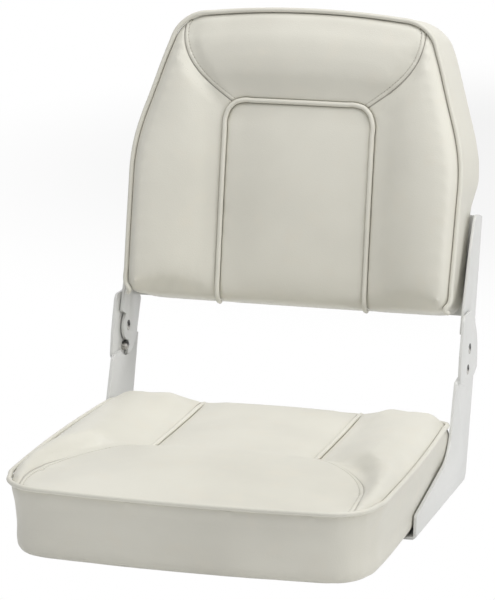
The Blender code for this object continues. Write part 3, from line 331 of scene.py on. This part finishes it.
vinylLook = {  # the seam and stitch measures are in mm, as the attributes are that sewn() writes
    "colour": (0.755, 0.74, 0.665), "shade": (0.69, 0.675, 0.605), "warm": (0.75, 0.715, 0.625),
    # crease is the colour of painted shade; the cord, seam, stitch-line and hole amounts below set how far
    # the vinyl is darkened towards it beside the cords, in the seam creases and at the stitches
    "crease": (0.115, 0.098, 0.078), "roughness": 0.39, "roughnessSpread": 0.1, "roughnessScale": 160,
    "shadeScale": 7, "warmScale": 38, "warmShare": 0.35,
    "grain": 950, "fineGrain": 0.6, "fineShare": 0.6, "grainDepth": 0.16 * mm, "grainStrength": 0.5,
    "cordFade": (4.4, 3.1), "cordShade": 0.62, "seamFade": (0.9, 0.2), "seamDepth": 9,
    "stitchPitch": 4.2, "stitchLineGap": 4.5, "stitchFade": (0.75, 0.2), "stitchTone": 1.4,
    "stitchDepth": 2.5, "stitchLineShade": 0.25, "holeFade": (0.72, 0.82), "holeShade": 0.7, "holeDepth": 3,
}
tones = {  # the colours that the other finishes vary between
    "paint": ((0.71, 0.715, 0.70), (0.60, 0.595, 0.565)),
    "steel": ((0.30, 0.295, 0.285), (0.17, 0.167, 0.16)),
    # head is the light and dark of a painted reflection on the bolt heads; headRim is the painted shadow
    # round a head's rim
    "head": ((0.52, 0.50, 0.47), (0.022, 0.021, 0.02)),
    "headRim": (0.10, 0.10, 0.095),
    "plywood": ((0.52, 0.37, 0.21), (0.40, 0.26, 0.13)),
    "cloth": ((0.018, 0.018, 0.019), (0.045, 0.045, 0.047)),
    "nylon": ((0.74, 0.74, 0.70), (0.70, 0.70, 0.66)),
    "thread": ((0.70, 0.68, 0.60), (0.60, 0.58, 0.50)),
}


def coverVinyl(name, seams=True, seamTone=0.62):  # off-white coated cloth with a fine pebble grain; painted shade darkens it beside the cords, along the seam creases, in the stitch holes and along the stitch lines, as strongly as seamTone sets
    look = Finish(name)
    broad = look.noise(vinylLook["shadeScale"], 3)
    clouds = look.noise(vinylLook["warmScale"], 4)
    colour = look.blend(broad.fade(0.35, 0.7), vinylLook["colour"], vinylLook["shade"])
    colour = look.blend(clouds.fade(0.5, 0.75) * vinylLook["warmShare"], colour, vinylLook["warm"])
    fine = vinylLook["grain"] * vinylLook["fineGrain"]
    height = look.cells(vinylLook["grain"]) + look.noise(fine, 2) * vinylLook["fineShare"]
    if seams:
        cordGap, seamSide = look.attribute("cordGap"), look.attribute("seamSide")
        seamRun, seamOn = look.attribute("seamRun"), look.attribute("seamOn")
        # painted shade: the vinyl is darkened towards the crease colour beside each cord, in each seam's
        # crease and along its stitch line, darkest in the stitch holes
        besideCord = cordGap.fade(*vinylLook["cordFade"])
        onSeam = seamSide.size().fade(*vinylLook["seamFade"]) * seamOn
        holes = (seamRun / vinylLook["stitchPitch"]).maths("FRACT").fade(*vinylLook["holeFade"])
        stitchLine = (seamSide - vinylLook["stitchLineGap"]).size().fade(*vinylLook["stitchFade"]) * seamOn
        stitchShade = stitchLine * (holes * vinylLook["holeShade"] + vinylLook["stitchLineShade"])
        stitchShade = stitchShade * (seamTone * vinylLook["stitchTone"])
        paintedSeamShade = (besideCord * vinylLook["cordShade"]).maths("MAXIMUM", onSeam * seamTone)
        paintedSeamShade = paintedSeamShade.maths("MAXIMUM", stitchShade)
        colour = look.blend(paintedSeamShade, colour, vinylLook["crease"])
        stitchDepth = vinylLook["stitchDepth"] + holes * vinylLook["holeDepth"]
        height = height - (onSeam * vinylLook["seamDepth"] + stitchLine * stitchDepth)
    gloss = look.noise(vinylLook["roughnessScale"], 3)
    roughness = gloss * vinylLook["roughnessSpread"] + vinylLook["roughness"]
    normal = look.bump(height, vinylLook["grainDepth"], vinylLook["grainStrength"])
    return look.surface(Base_Color=colour, Roughness=roughness, Normal=normal)


def paintedMetal(name):  # glossy white powder coat with a faint orange peel and faint darker blotches of grime all over
    look = Finish(name)
    peel = look.noise(420, 2)
    grime = look.noise(55, 5, 0.6).fade(0.56, 0.78)
    colour = look.blend(grime * 0.3, *tones["paint"])
    normal = look.bump(peel, 0.05 * mm, 0.35)
    return look.surface(Base_Color=colour, Roughness=look.noise(90, 3) * 0.14 + 0.27, Normal=normal,
                        Coat_Weight=0.25)


def stainless(name):  # machined steel, with faint scratches
    look = Finish(name)
    scratches = look.streaks((60, 900, 90), 6.0, 4.0)
    colour = look.blend(look.noise(300, 3).fade(0.4, 0.7) * 0.5, *tones["steel"])
    return look.surface(Base_Color=colour, Roughness=scratches * 0.2 + 0.2, Metallic=1.0,
                        Normal=look.bump(scratches, 0.02 * mm, 0.3))


def headWithPaintedReflection(name, centre, radius):  # a dished head whose colour is a painted reflection, dark towards the top and rear and bright towards the bottom and front, with a painted shadow round its rim
    look = Finish(name)
    offset = look.node("VectorMath", {"operation": "SUBTRACT"}, look.place(), tuple(centre)).out()
    parts = look.node("SeparateXYZ", {}, offset)
    across, height = parts.out("Y") / radius, parts.out("Z") / radius
    # painted reflection, darker towards the top and rear of the head; then a painted shadow round the rim
    paintedReflection = height * 0.75 + across * 0.45 + look.noise(420, 3) * 0.5 - 0.25
    paintedRimShadow = (across * across + height * height).maths("SQRT").fade(0.8, 0.98)
    colour = look.blend(paintedReflection.fade(-0.35, 0.25), *tones["head"])
    colour = look.blend(paintedRimShadow * 0.8, colour, tones["headRim"])
    return look.surface(Base_Color=colour, Roughness=look.noise(300, 3) * 0.2 + 0.3, Metallic=0.85,
                        Normal=look.bump(look.noise(700, 2), 0.03 * mm, 0.3))


def laminatedBoard(name):  # plywood with a long grain
    look = Finish(name)
    grain = look.streaks((12, 160, 160), 2.0, 6.0)
    colour = look.blend(grain.fade(0.35, 0.7), *tones["plywood"])
    return look.surface(Base_Color=colour, Roughness=grain * 0.2 + 0.6,
                        Normal=look.bump(grain, 0.15 * mm, 0.6))


def coverCloth(name):  # black non-woven cloth under the seat
    look = Finish(name)
    fibre = look.noise(900, 4, 0.7)
    colour = look.blend(fibre.fade(0.4, 0.7), *tones["cloth"])
    return look.surface(Base_Color=colour, Roughness=fibre * 0.1 + 0.85,
                        Normal=look.bump(fibre, 0.2 * mm, 0.8))


def plainNylon(name):
    look = Finish(name)
    return look.surface(Base_Color=look.blend(look.noise(120, 2), *tones["nylon"]), Roughness=0.5)


def sewingThread(name):
    look = Finish(name)
    twist = look.noise(2600, 2)
    return look.surface(Base_Color=look.blend(twist, *tones["thread"]), Roughness=0.6,
                        Normal=look.bump(twist, 0.1 * mm, 0.5))


padVinyl = coverVinyl("padVinyl")
# the seat's seams get fainter painted shade
seatVinyl = coverVinyl("seatVinyl", seamTone=0.3)
cordVinyl = coverVinyl("cordVinyl", seams=False)
metalPaint = paintedMetal("metalPaint")
steelFinish = stainless("steelFinish")
stopCentre = sum((Vector(corner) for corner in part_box("stop_nut_right")), Vector()) / 2
# the bolt heads carry a painted reflection and a painted rim shadow, centred on the pivot and on the stop
# bolt
pivotFinish = headWithPaintedReflection("pivotFinish", hinge, 6.2 * mm)
stopFinish = headWithPaintedReflection("stopFinish", stopCentre, 6.4 * mm)
boardFinish = laminatedBoard("boardFinish")
clothFinish = coverCloth("clothFinish")
nylonFinish = plainNylon("nylonFinish")
threadFinish = sewingThread("threadFinish")
print("finishes made")

for nodeName, node in frame["nodes"].items():  # the nodes that stay as they are get the real finishes
    finish = metalPaint
    if nodeName.endswith("board"):
        finish = boardFinish
    elif nodeName.startswith(("t_nut", "seat_bolt", "pivot_s", "stop_", "arm_screw")):
        finish = steelFinish
    elif nodeName.startswith("pivot_washer"):
        finish = nylonFinish
    elif nodeName == "seat_underside_cover":
        finish = clothFinish
    elif "cushion" in nodeName or "welt" in nodeName or "panel" in nodeName:
        finish = cordVinyl
    for slotIndex in range(len(node.data.materials)):
        node.data.materials[slotIndex] = finish


# Lines of the seat and the backrest

rearPiping = {"drop": 4 * mm, "ahead": 30 * mm, "over": 24 * mm, "legShort": 3.4 * mm, "legRise": 1.6 * mm}

seatWelt, closedWelt = cordLine("seat_welt")
seatRear = max(place.y for place in seatWelt)
for place in seatWelt:  # along the rear the piping sits low, behind the crest of the padding
    share = (place.y - seatRear + rearPiping["ahead"]) / rearPiping["over"]
    place.z -= rearPiping["drop"] * min(1, max(0, share))
seatLegs = {side: cordLine("seat_seam_welt_" + side)[0] for side in ("right", "left")}
for leg in seatLegs.values():  # each runs on to the rear edge, where it ends against the edge's piping
    leg.sort(key=lambda place: -place.y)
    rearEdge = min(seatWelt, key=lambda place: (place - leg[0]).length)
    leg.insert(0, Vector((leg[0].x, rearEdge.y - rearPiping["legShort"], rearEdge.z + rearPiping["legRise"])))
backWelt = cordLine("backrest_welt")[0][3:-3]  # its ends tuck in just behind the lower corners
backArch = cordLine("backrest_arch_welt")[0]
print("cord lines:", len(seatWelt), closedWelt, len(seatLegs["right"]), len(backWelt), len(backArch))

seatLine = smoothLine(seatWelt, True)
backLine = smoothLine(backWelt)
archLine = smoothLine(backArch)

seatSeam = {"reach": 16 * mm, "startHandle": (42 * mm, -21 * mm), "endHandle": (3 * mm, -53 * mm),
            "beyond": 0.1, "frontBand": 60 * mm}


def seatSeamPlan(side):  # the topstitched seam from the end of a piped seam out to the front corner
    sign = 1 if side == "right" else -1
    leg = seatLegs[side]
    front = min(point.y for point in seatWelt)
    start = leg[-1]
    reach = front + seatSeam["reach"]
    ends = [p for p in seatLine if p[0] * sign > seatSeam["beyond"] and p[1] < front + seatSeam["frontBand"]]
    end = min(ends, key=lambda p: abs(p[1] - reach))
    out, onward = seatSeam["startHandle"]
    outward, ahead = seatSeam["endHandle"]
    return bezierPlan((start.x, start.y, start.z), (start.x + sign * out, start.y + onward, start.z),
                      (end[0] + sign * outward, start.y + ahead, end[2]), tuple(end))


backSeam = {"startHandle": (30 * mm, 22 * mm), "endHandle": (2 * mm, -50 * mm), "towards": (0.62, 0.78)}


def backSeamPlan(sign):  # from the arch's shoulder up to the top corner of the backrest
    arch = [worldToBack @ Vector(p) for p in archLine]
    welt = [worldToBack @ Vector(p) for p in backLine]
    sideways, upward = backSeam["towards"]
    towards = Vector((sideways * sign, 0, upward))
    start = max((p for p in arch if p.x * sign > 0), key=lambda p: p.dot(towards))
    end = max((p for p in welt if p.x * sign > 0 and p.y < 0), key=lambda p: p.dot(towards))
    out, up = backSeam["startHandle"]
    endOut, endUp = backSeam["endHandle"]
    plan = bezierPlan(tuple(start), (start.x + sign * out, start.y, start.z + up),
                      (end.x + sign * endOut, end.y, end.z + endUp), tuple(end))
    return np.array([tuple(backToWorld @ Vector(p)) for p in plan])


# Padded covers

pad = {
    "voxel": 5 * mm, "smoothing": 8, "shrink": 2.0 * mm, "cap": 6 * mm, "pressure": 4, "frames": 20,
    "pinNear": 6 * mm, "pinFar": 24 * mm, "fineBand": 8 * mm,
    "hugInner": 2.5 * mm, "hugStart": 3.2 * mm, "hugEnd": 7 * mm,
    "groove": 3.0 * mm, "grooveWidth": 3.4 * mm, "grooveReach": 1.9,
    "crease": 1.0 * mm, "creaseWidth": 1.3 * mm,
    "band": 0.5 * mm, "bandAt": 2.4 * mm, "bandWidth": 1.7 * mm, "dimple": 0.35 * mm, "dimpleWidth": 1.1 * mm,
    "seamReach": 12 * mm, "seamOwn": 11 * mm, "pastEnd": 0.8 * mm, "farSide": 50.0,
}
clothSettings = {"quality": 4, "mass": 0.3, "tension_stiffness": 12, "compression_stiffness": 12,
                 "bending_stiffness": 4, "use_pressure": True, "uniform_pressure_force": pad["pressure"],
                 "vertex_group_mass": "held"}


def nearestGap(points, lines, reach):
    gap = np.full(len(points), 1.0)
    for line in lines:
        gap = np.minimum(gap, nearLine(points, line, reach)[0])
    return gap


def puffed(piece, held):  # lets the cover swell like a filled one; held is 1 where it is sewn or stapled down
    group = piece.vertex_groups.new(name="held")
    for i, weight in enumerate(held):
        group.add([i], float(weight), "REPLACE")
    start = coordinates(piece) - vertexNormals(piece) * (pad["shrink"] * (1 - held))[:, None]
    moveVertices(piece, start)
    cloth = piece.modifiers.new("swelling", "CLOTH")
    for name, value in clothSettings.items():
        setattr(cloth.settings, name, value)
    cloth.settings.effector_weights.gravity = 0
    cloth.point_cache.frame_start, cloth.point_cache.frame_end = 1, pad["frames"]
    for frameNumber in range(1, pad["frames"] + 1):
        bpy.context.scene.frame_set(frameNumber)
    swollen = piece.evaluated_get(bpy.context.evaluated_depsgraph_get())
    values = np.empty(len(start) * 3)
    swollen.data.vertices.foreach_get("co", values)
    moved = values.reshape(-1, 3) - start
    piece.modifiers.remove(cloth)
    bpy.context.scene.frame_set(1)
    far = np.linalg.norm(moved, axis=1)
    moved *= (np.minimum(far, pad["cap"]) / np.maximum(far, 1e-9))[:, None]
    moveVertices(piece, start + moved)
    print(piece.name, "swelled by up to %.1f mm" % (far.max() / mm))


def refinedNear(piece, lines, reach):  # twice as fine beside the seams
    points = coordinates(piece)
    near = nearestGap(points, lines, reach) < reach
    build = bmesh.new()
    build.from_mesh(piece.data)
    build.verts.ensure_lookup_table()
    edges = [e for e in build.edges if near[e.verts[0].index] and near[e.verts[1].index]]
    bmesh.ops.subdivide_edges(build, edges=edges, cuts=1, use_grid_fill=True, smooth=0)
    bmesh.ops.triangulate(build, faces=[f for f in build.faces if len(f.verts) > 4])
    build.to_mesh(piece.data)
    build.free()


def writeField(piece, name, values):
    field = piece.data.attributes.new(name, "FLOAT", "POINT")
    field.data.foreach_set("value", np.asarray(values, dtype=np.float32))


def sewn(piece, cords, seams, facing):  # beds the cords, and presses in the topstitched seams
    points, normals = coordinates(piece), vertexNormals(piece)
    for line, sunken in cords:
        gap, _, offset, direction = nearLine(points, line, pad["hugEnd"] * 2)
        if sunken:
            lateral = offset - direction * np.sum(offset * direction, 1)[:, None]
            lateral = lateral - np.outer(lateral @ np.array(facing), facing)
            beside = np.linalg.norm(lateral, axis=1)
            inReach = gap < pad["hugEnd"] * pad["grooveReach"]
            depth = pad["groove"] * np.exp(-(beside / pad["grooveWidth"]) ** 2) * inReach
            points = points - normals * depth[:, None]
    for line, sunken in cords:
        gap, _, offset, direction = nearLine(points, line, pad["hugEnd"])
        close = gap < pad["hugEnd"]
        across = offset[close] - direction[close] * np.sum(offset[close] * direction[close], 1)[:, None]
        away = np.maximum(np.linalg.norm(across, axis=1), 1e-7)
        share = np.clip((away - pad["hugStart"]) / (pad["hugEnd"] - pad["hugStart"]), 0, 1)
        wanted = pad["hugInner"] + (pad["hugEnd"] - pad["hugInner"]) * share
        points[close] += across * ((wanted - away) / away)[:, None]
    seamSide = np.full(len(points), pad["farSide"])
    seamRun = np.zeros(len(points))
    best = np.full(len(points), 1.0)
    for line, stitchedSide in seams:
        gap, run, offset, direction = nearLine(points, line, pad["seamReach"])
        signed = np.sum(offset * np.cross(direction, np.array(facing)), 1) * stitchedSide
        pastEnd = np.abs(np.sum(offset * direction, 1)) > pad["pastEnd"]
        closer = (gap < best) & ~pastEnd
        seamSide[closer] = signed[closer] / mm
        seamRun[closer] = run[closer] / mm
        best[closer] = gap[closer]
    side = seamSide * mm
    seamOn = np.clip((normals @ np.array(facing) - 0.25) / 0.3, 0, 1) * (best < pad["seamOwn"])
    push = -pad["crease"] * np.exp(-(side / pad["creaseWidth"]) ** 2)
    push += pad["band"] * np.exp(-((side - pad["bandAt"]) / pad["bandWidth"]) ** 2)
    push -= pad["dimple"] * np.exp(-((side - vinylLook["stitchLineGap"] * mm) / pad["dimpleWidth"]) ** 2)
    points += normals * (push * seamOn)[:, None]
    moveVertices(piece, points)
    cordGap = nearestGap(points, [line for line, _ in cords], pad["seamReach"])
    writeField(piece, "cordGap", np.minimum(cordGap / mm, pad["farSide"]))
    writeField(piece, "seamSide", seamSide)
    writeField(piece, "seamRun", seamRun)
    writeField(piece, "seamOn", seamOn)


def paddedCover(name, node, cords, seamPlans, facing, hidden, filled=None):
    piece = nodeCopy(node, name)
    applied(piece, "REMESH", mode="VOXEL", voxel_size=pad["voxel"])
    applied(piece, "SMOOTH", factor=0.5, iterations=pad["smoothing"])
    tree = ownTree(piece)
    seams = [(drapedLine(plan, tree, -facing), side) for plan, side in seamPlans]
    points = coordinates(piece)
    lines = [line for line, _ in cords] + [line for line, _ in seams]
    gap = nearestGap(points, lines, pad["pinFar"])
    held = np.clip((pad["pinFar"] - gap) / (pad["pinFar"] - pad["pinNear"]), 0, 1)
    held = np.maximum(held, hidden(points))
    puffed(piece, held)
    if filled:
        filled(piece)
    applied(piece, "SUBSURF", levels=1, render_levels=1)
    refinedNear(piece, lines, pad["fineBand"])
    tree = ownTree(piece)
    seams = [(drapedLine(smoothLine(plan), tree, -facing), side) for plan, side in seamPlans]
    sewn(piece, cords, seams, tuple(facing))
    alone(piece)
    bpy.ops.object.shade_smooth()
    print(name, len(piece.data.polygons), "faces")
    return piece, seams


rearPuff = {
    "height": 8 * mm, "x": 122 * mm, "halfX": 24 * mm, "halfY": 48 * mm, "behind": 16 * mm,
    "above": 70 * mm, "aboveOver": 14 * mm, "middle": 3 * mm, "middleX": 88 * mm, "over": 25 * mm,
    "side": 196.4 * mm, "sideX": 160 * mm, "sideMost": 4 * mm,
    "sideLow": 22 * mm, "lowOver": 18 * mm, "sideHigh": 79 * mm, "highOver": 6 * mm,
}
keptShape = {"underSeat": (30 * mm, 14 * mm), "behindBack": (-4 * mm, 12 * mm)}


def fullRear(piece):  # the seat's side panels stand up at the rear, with the piped seams between them
    points = coordinates(piece)
    rear = max(p[1] for p in seatLine) - rearPuff["behind"]
    across = (np.abs(points[:, 0]) - rearPuff["x"]) / rearPuff["halfX"]
    along = (points[:, 1] - rear) / rearPuff["halfY"]
    upper = np.clip((points[:, 2] - rearPuff["above"]) / rearPuff["aboveOver"], 0, 1)
    points[:, 2] += rearPuff["height"] * np.exp(-across ** 2 - along ** 2) * upper
    middle = np.clip((rearPuff["middleX"] - np.abs(points[:, 0])) / rearPuff["over"], 0, 1)
    points[:, 2] += rearPuff["middle"] * middle * np.exp(-along ** 2) * upper
    outer = np.clip((np.abs(points[:, 0]) - rearPuff["sideX"]) / rearPuff["over"], 0, 1)
    outer = outer * np.exp(-(along * 1.2) ** 4)
    wall = np.clip((points[:, 2] - rearPuff["sideLow"]) / rearPuff["lowOver"], 0, 1)
    wall = wall * np.clip((rearPuff["sideHigh"] - points[:, 2]) / rearPuff["highOver"], 0, 1)
    spare = np.clip(rearPuff["side"] - np.abs(points[:, 0]), 0, rearPuff["sideMost"])
    points[:, 0] += np.sign(points[:, 0]) * spare * outer * wall
    moveVertices(piece, points)


def underSeat(points):  # the lower edge, the pocket and the underside keep their shape
    below, over = keptShape["underSeat"]
    return np.clip((below - points[:, 2]) / over, 0, 1)


def behindBack(points):  # the backrest's rear keeps its shape too
    depth = (points - np.array(hinge)) @ -np.array(backFacing)
    low, high = keptShape["behindBack"]
    return np.clip((depth - low) / (high - low), 0, 1)


seatLegLines = {side: smoothLine(seatLegs[side]) for side in seatLegs}
seatCords = [(seatLine, False)] + [(seatLegLines[side], True) for side in ("right", "left")]
seatSeams = [(seatSeamPlan("right"), 1), (seatSeamPlan("left"), -1)]
seatCover, seatSeamLines = paddedCover("seat_cover", "seat_cushion", seatCords, seatSeams, upwards, underSeat,
                                        fullRear)
dressed(seatCover, "seat", seatVinyl, "off_white_vinyl", "seat_cushion")

backCords = [(backLine, False), (archLine, True)]
backSeams = [(backSeamPlan(1), -1), (backSeamPlan(-1), 1)]
backCover, backSeamLines = paddedCover("backrest_cover", "backrest_cushion", backCords, backSeams, backFacing,
                                       behindBack)
dressed(backCover, "backrest", padVinyl, "off_white_vinyl", "backrest_cushion")
print("covers done")


# Piping

def piping(name, points, closed, body, node):
    line = curveThrough(points, closed, name)
    line.data.bevel_depth = cord["radius"]
    line.data.bevel_resolution = 4
    line.data.use_fill_caps = True
    alone(line)
    bpy.ops.object.convert(target="MESH")
    piece = bpy.context.object
    alone(piece)
    bpy.ops.object.shade_smooth()
    dressed(piece, body, cordVinyl, "off_white_vinyl", node)


piping("seat_piping", seatWelt, True, "seat", "seat_welt")
for side in ("right", "left"):
    piping("seat_panel_piping_" + side, seatLegs[side], False, "seat", "seat_seam_welt_" + side)
piping("backrest_piping", backWelt, False, "backrest", "backrest_welt")
piping("backrest_arch_piping", backArch, False, "backrest", "backrest_arch_welt")
print("piping done")


# Stitches

stitch = {"length": 3.0 * mm, "width": 0.75 * mm, "height": 0.5 * mm, "pitch": vinylLook["stitchPitch"] * mm,
          "lead": 0.14, "lift": 0.05}  # how far ahead of its hole, in pitches, and above the vinyl, in mm


def stitchRow(name, rows, cover, body):  # one thread loop, modelled once and set along each row
    bpy.ops.object.select_all(action="DESELECT")
    bpy.ops.mesh.primitive_uv_sphere_add(segments=6, ring_count=5, radius=0.5)
    loop = bpy.context.object
    loop.data.transform(Matrix.Diagonal((stitch["length"], stitch["width"], stitch["height"], 1)))
    build = bmesh.new()
    tree = ownTree(cover)
    for line, sideways, facing in rows:
        runs = np.concatenate([[0], np.cumsum(np.linalg.norm(np.diff(line, axis=0), axis=1))])
        along = tangents(line)
        for run in np.arange(stitch["pitch"], runs[-1] - stitch["pitch"], stitch["pitch"]):
            k = int(np.searchsorted(runs, run - stitch["lead"] * stitch["pitch"]))
            tangent = Vector(along[k])
            out = tangent.cross(Vector(facing)).normalized() * sideways
            place, normal = tree.find_nearest(Vector(line[k]) + out * vinylLook["stitchLineGap"] * mm)[:2]
            across = normal.cross(tangent).normalized()
            tangent = across.cross(normal).normalized()
            turn = Matrix((tangent, across, normal)).transposed().to_4x4()
            copy = loop.data.copy()
            copy.transform(Matrix.Translation(place + normal * stitch["lift"] * mm) @ turn)
            build.from_mesh(copy)
            bpy.data.meshes.remove(copy)
    bpy.data.objects.remove(loop, do_unlink=True)
    mesh = bpy.data.meshes.new(name)
    build.to_mesh(mesh)
    build.free()
    piece = bpy.data.objects.new(name, mesh)
    bpy.context.collection.objects.link(piece)
    alone(piece)
    bpy.ops.object.shade_smooth()
    dressed(piece, body, threadFinish, "off_white_vinyl")


stitchRow("seat_stitches", [(line, side, tuple(upwards)) for line, side in seatSeamLines], seatCover, "seat")
stitchRow("backrest_stitches", [(line, side, tuple(backFacing)) for line, side in backSeamLines], backCover,
          "backrest")
print("stitches done")


# Arms and fasteners: the CAD shapes with their edges broken as on real plate

edgeAngles = {"flat": math.radians(0.6), "broken": math.radians(35), "smooth": math.radians(32)}


def brokenEdges(name, node, width, body, finish, slotName, segments=2):
    piece = nodeCopy(node, name)
    applied(piece, "DECIMATE", decimate_type="DISSOLVE", angle_limit=edgeAngles["flat"])
    applied(piece, "BEVEL", width=width, segments=segments, limit_method="ANGLE",
            angle_limit=edgeAngles["broken"], use_clamp_overlap=True, harden_normals=False)
    alone(piece)
    bpy.ops.object.shade_smooth_by_angle(angle=edgeAngles["smooth"])
    dressed(piece, body, finish, slotName, node)


for side in ("right", "left"):
    brokenEdges("lower_bracket_" + side, "lower_arm_" + side, 0.6 * mm, "seat", metalPaint,
                "white_painted_metal")
    brokenEdges("backrest_bracket_" + side, "upper_arm_" + side, 0.6 * mm, "backrest", metalPaint,
                "white_painted_metal")
    for part, width in (("pivot_sleeve", 0.15), ("pivot_screw", 0.2), ("stop_bolt", 0.2), ("stop_nut", 0.35)):
        brokenEdges("finished_%s_%s" % (part, side), "%s_%s" % (part, side), width * mm, "seat",
                    pivotFinish if part.startswith("pivot") else stopFinish, "stainless_steel")


# The cloth across the seat's underside, and the backrest's rear panel

underCloth = {"thickness": 0.8 * mm, "corner": 12 * mm, "wave": 0.15 * mm, "wavesX": 70, "wavesY": 40,
              "cells": 80, "smooth": math.radians(40)}


def underside():
    low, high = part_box("seat_underside_cover")
    middle, half = (low + high) / 2, (high - low) / 2
    cells = underCloth["cells"]
    bpy.ops.mesh.primitive_grid_add(x_subdivisions=cells, y_subdivisions=cells, size=2)
    piece = bpy.context.object
    piece.name = "seat_underside_cloth"
    points = coordinates(piece) * np.array((half.x, half.y, 0))
    inner = np.array((half.x, half.y)) - underCloth["corner"]
    past = np.maximum(np.abs(points[:, :2]) - inner, 0)
    shrink = past.max(1) / np.maximum(np.linalg.norm(past, axis=1), 1e-9)
    atCorner = past.min(1) > 0
    rounded = np.sign(points[:, :2]) * (inner + past * shrink[:, None])
    points[atCorner, :2] = rounded[atCorner]
    wave = np.sin(points[:, 0] * underCloth["wavesX"])
    points[:, 2] = underCloth["wave"] * wave * np.cos(points[:, 1] * underCloth["wavesY"])
    moveVertices(piece, points + np.array(middle))
    applied(piece, "SOLIDIFY", thickness=underCloth["thickness"], offset=0)
    alone(piece)
    bpy.ops.object.shade_smooth_by_angle(angle=underCloth["smooth"])
    dressed(piece, "seat", clothFinish, "black_cover_cloth", "seat_underside_cover")


underside()
brokenEdges("backrest_back_panel", "backrest_rear_panel", 1.1 * mm, "backrest", cordVinyl,
            "off_white_vinyl", 3)
print("metal done")


# Stage, lights and camera

def whiteStage():
    look = Finish("stageWhite")
    path = look.node("LightPath")
    seen = path.out("Is Camera Ray") + path.out("Is Glossy Ray") + path.out("Is Transmission Ray")
    seen = seen.maths("MINIMUM", 1)
    lit = look.node("BsdfDiffuse", {}, Color=(0.9, 0.9, 0.9)).out()
    glow = look.node("Emission", {}, Color=(1, 1, 1), Strength=1.0).out()
    parts = look.node("SeparateXYZ", {}, look.place())
    away = (parts.out("X") * parts.out("X") + parts.out("Y") * parts.out("Y")).maths("SQRT").fade(0.45, 1.3)
    mixed = look.node("MixShader", {}, seen * (away * 0.2 + 0.8), lit, glow).out()
    look.node("OutputMaterial", {}, Surface=mixed)
    return look.material


bpy.ops.object.select_all(action="DESELECT")
bpy.ops.mesh.primitive_plane_add(size=14, location=(0, 2, -0.0002))
floor = bpy.context.object
floor.name = "floor"
floor.data.materials.append(whiteStage())

world = bpy.data.worlds.new("studio")
bpy.context.scene.world = world
world.use_nodes = True
nodes, links = world.node_tree.nodes, world.node_tree.links
nodes.clear()
path = nodes.new("ShaderNodeLightPath")
dim, bright = nodes.new("ShaderNodeBackground"), nodes.new("ShaderNodeBackground")
dim.inputs["Strength"].default_value = 0.33
bright.inputs["Strength"].default_value = 1.0
for background in (dim, bright):
    background.inputs["Color"].default_value = (1, 1, 1, 1)
total = None
for ray in ("Is Camera Ray", "Is Glossy Ray", "Is Transmission Ray"):
    if total is None:
        total = path.outputs[ray]
    else:
        adding = nodes.new("ShaderNodeMath")
        adding.operation, adding.use_clamp = "ADD", True
        links.new(total, adding.inputs[0])
        links.new(path.outputs[ray], adding.inputs[1])
        total = adding.outputs[0]
blending, output = nodes.new("ShaderNodeMixShader"), nodes.new("ShaderNodeOutputWorld")
links.new(total, blending.inputs[0])
links.new(dim.outputs[0], blending.inputs[1])
links.new(bright.outputs[0], blending.inputs[2])
links.new(blending.outputs[0], output.inputs[0])

lamps = {  # place, size, power and tint of each soft box
    "overhead": {"place": (0.4, -0.38, 2.7), "size": 2.2, "power": 51, "tint": (1.0, 0.995, 0.98)},
    "right": {"place": (2.6, -0.4, 1.3), "size": 1.6, "power": 18, "tint": (1.0, 0.99, 0.96)},
}
for lampName, lamp in lamps.items():
    light = bpy.data.lights.new(lampName, "AREA")
    light.shape, light.size, light.energy, light.color = "SQUARE", lamp["size"], lamp["power"], lamp["tint"]
    holder = bpy.data.objects.new(lampName, light)
    bpy.context.collection.objects.link(holder)
    holder.location = lamp["place"]
    holder.rotation_euler = (Vector((0, 0, 0.25)) - Vector(lamp["place"])).to_track_quat("-Z", "Y").to_euler()

view = {  # the photograph's viewing angle
    "azimuth": math.radians(16.71), "elevation": math.radians(13.10), "roll": math.radians(-0.09),
    "distance": 3.37512, "aim": (0, -0.07695, 0.23), "across": 14.34 * mm, "up": 15.48 * mm,
    "focal": 3200, "imageWidth": 495, "sensor": 36,
}
ahead = Vector((-math.sin(view["azimuth"]) * math.cos(view["elevation"]),
                math.cos(view["azimuth"]) * math.cos(view["elevation"]), -math.sin(view["elevation"])))
right = Vector((math.cos(view["azimuth"]), math.sin(view["azimuth"]), 0))
up = right.cross(ahead)
right, up = (math.cos(view["roll"]) * right + math.sin(view["roll"]) * up,
             math.cos(view["roll"]) * up - math.sin(view["roll"]) * right)
cameraData = bpy.data.cameras.new("camera")
cameraData.sensor_fit, cameraData.sensor_width = "HORIZONTAL", view["sensor"]
cameraData.lens = view["focal"] / view["imageWidth"] * view["sensor"]
cameraData.clip_end = 60
camera = bpy.data.objects.new("camera", cameraData)
bpy.context.collection.objects.link(camera)
turn = Matrix((right, up, -ahead)).transposed().to_4x4()
turn.translation = (Vector(view["aim"]) - ahead * view["distance"] + right * view["across"] + up * view["up"])
camera.matrix_world = turn
bpy.context.scene.camera = camera
bpy.context.scene.view_settings.view_transform = "Standard"
print("stage done")
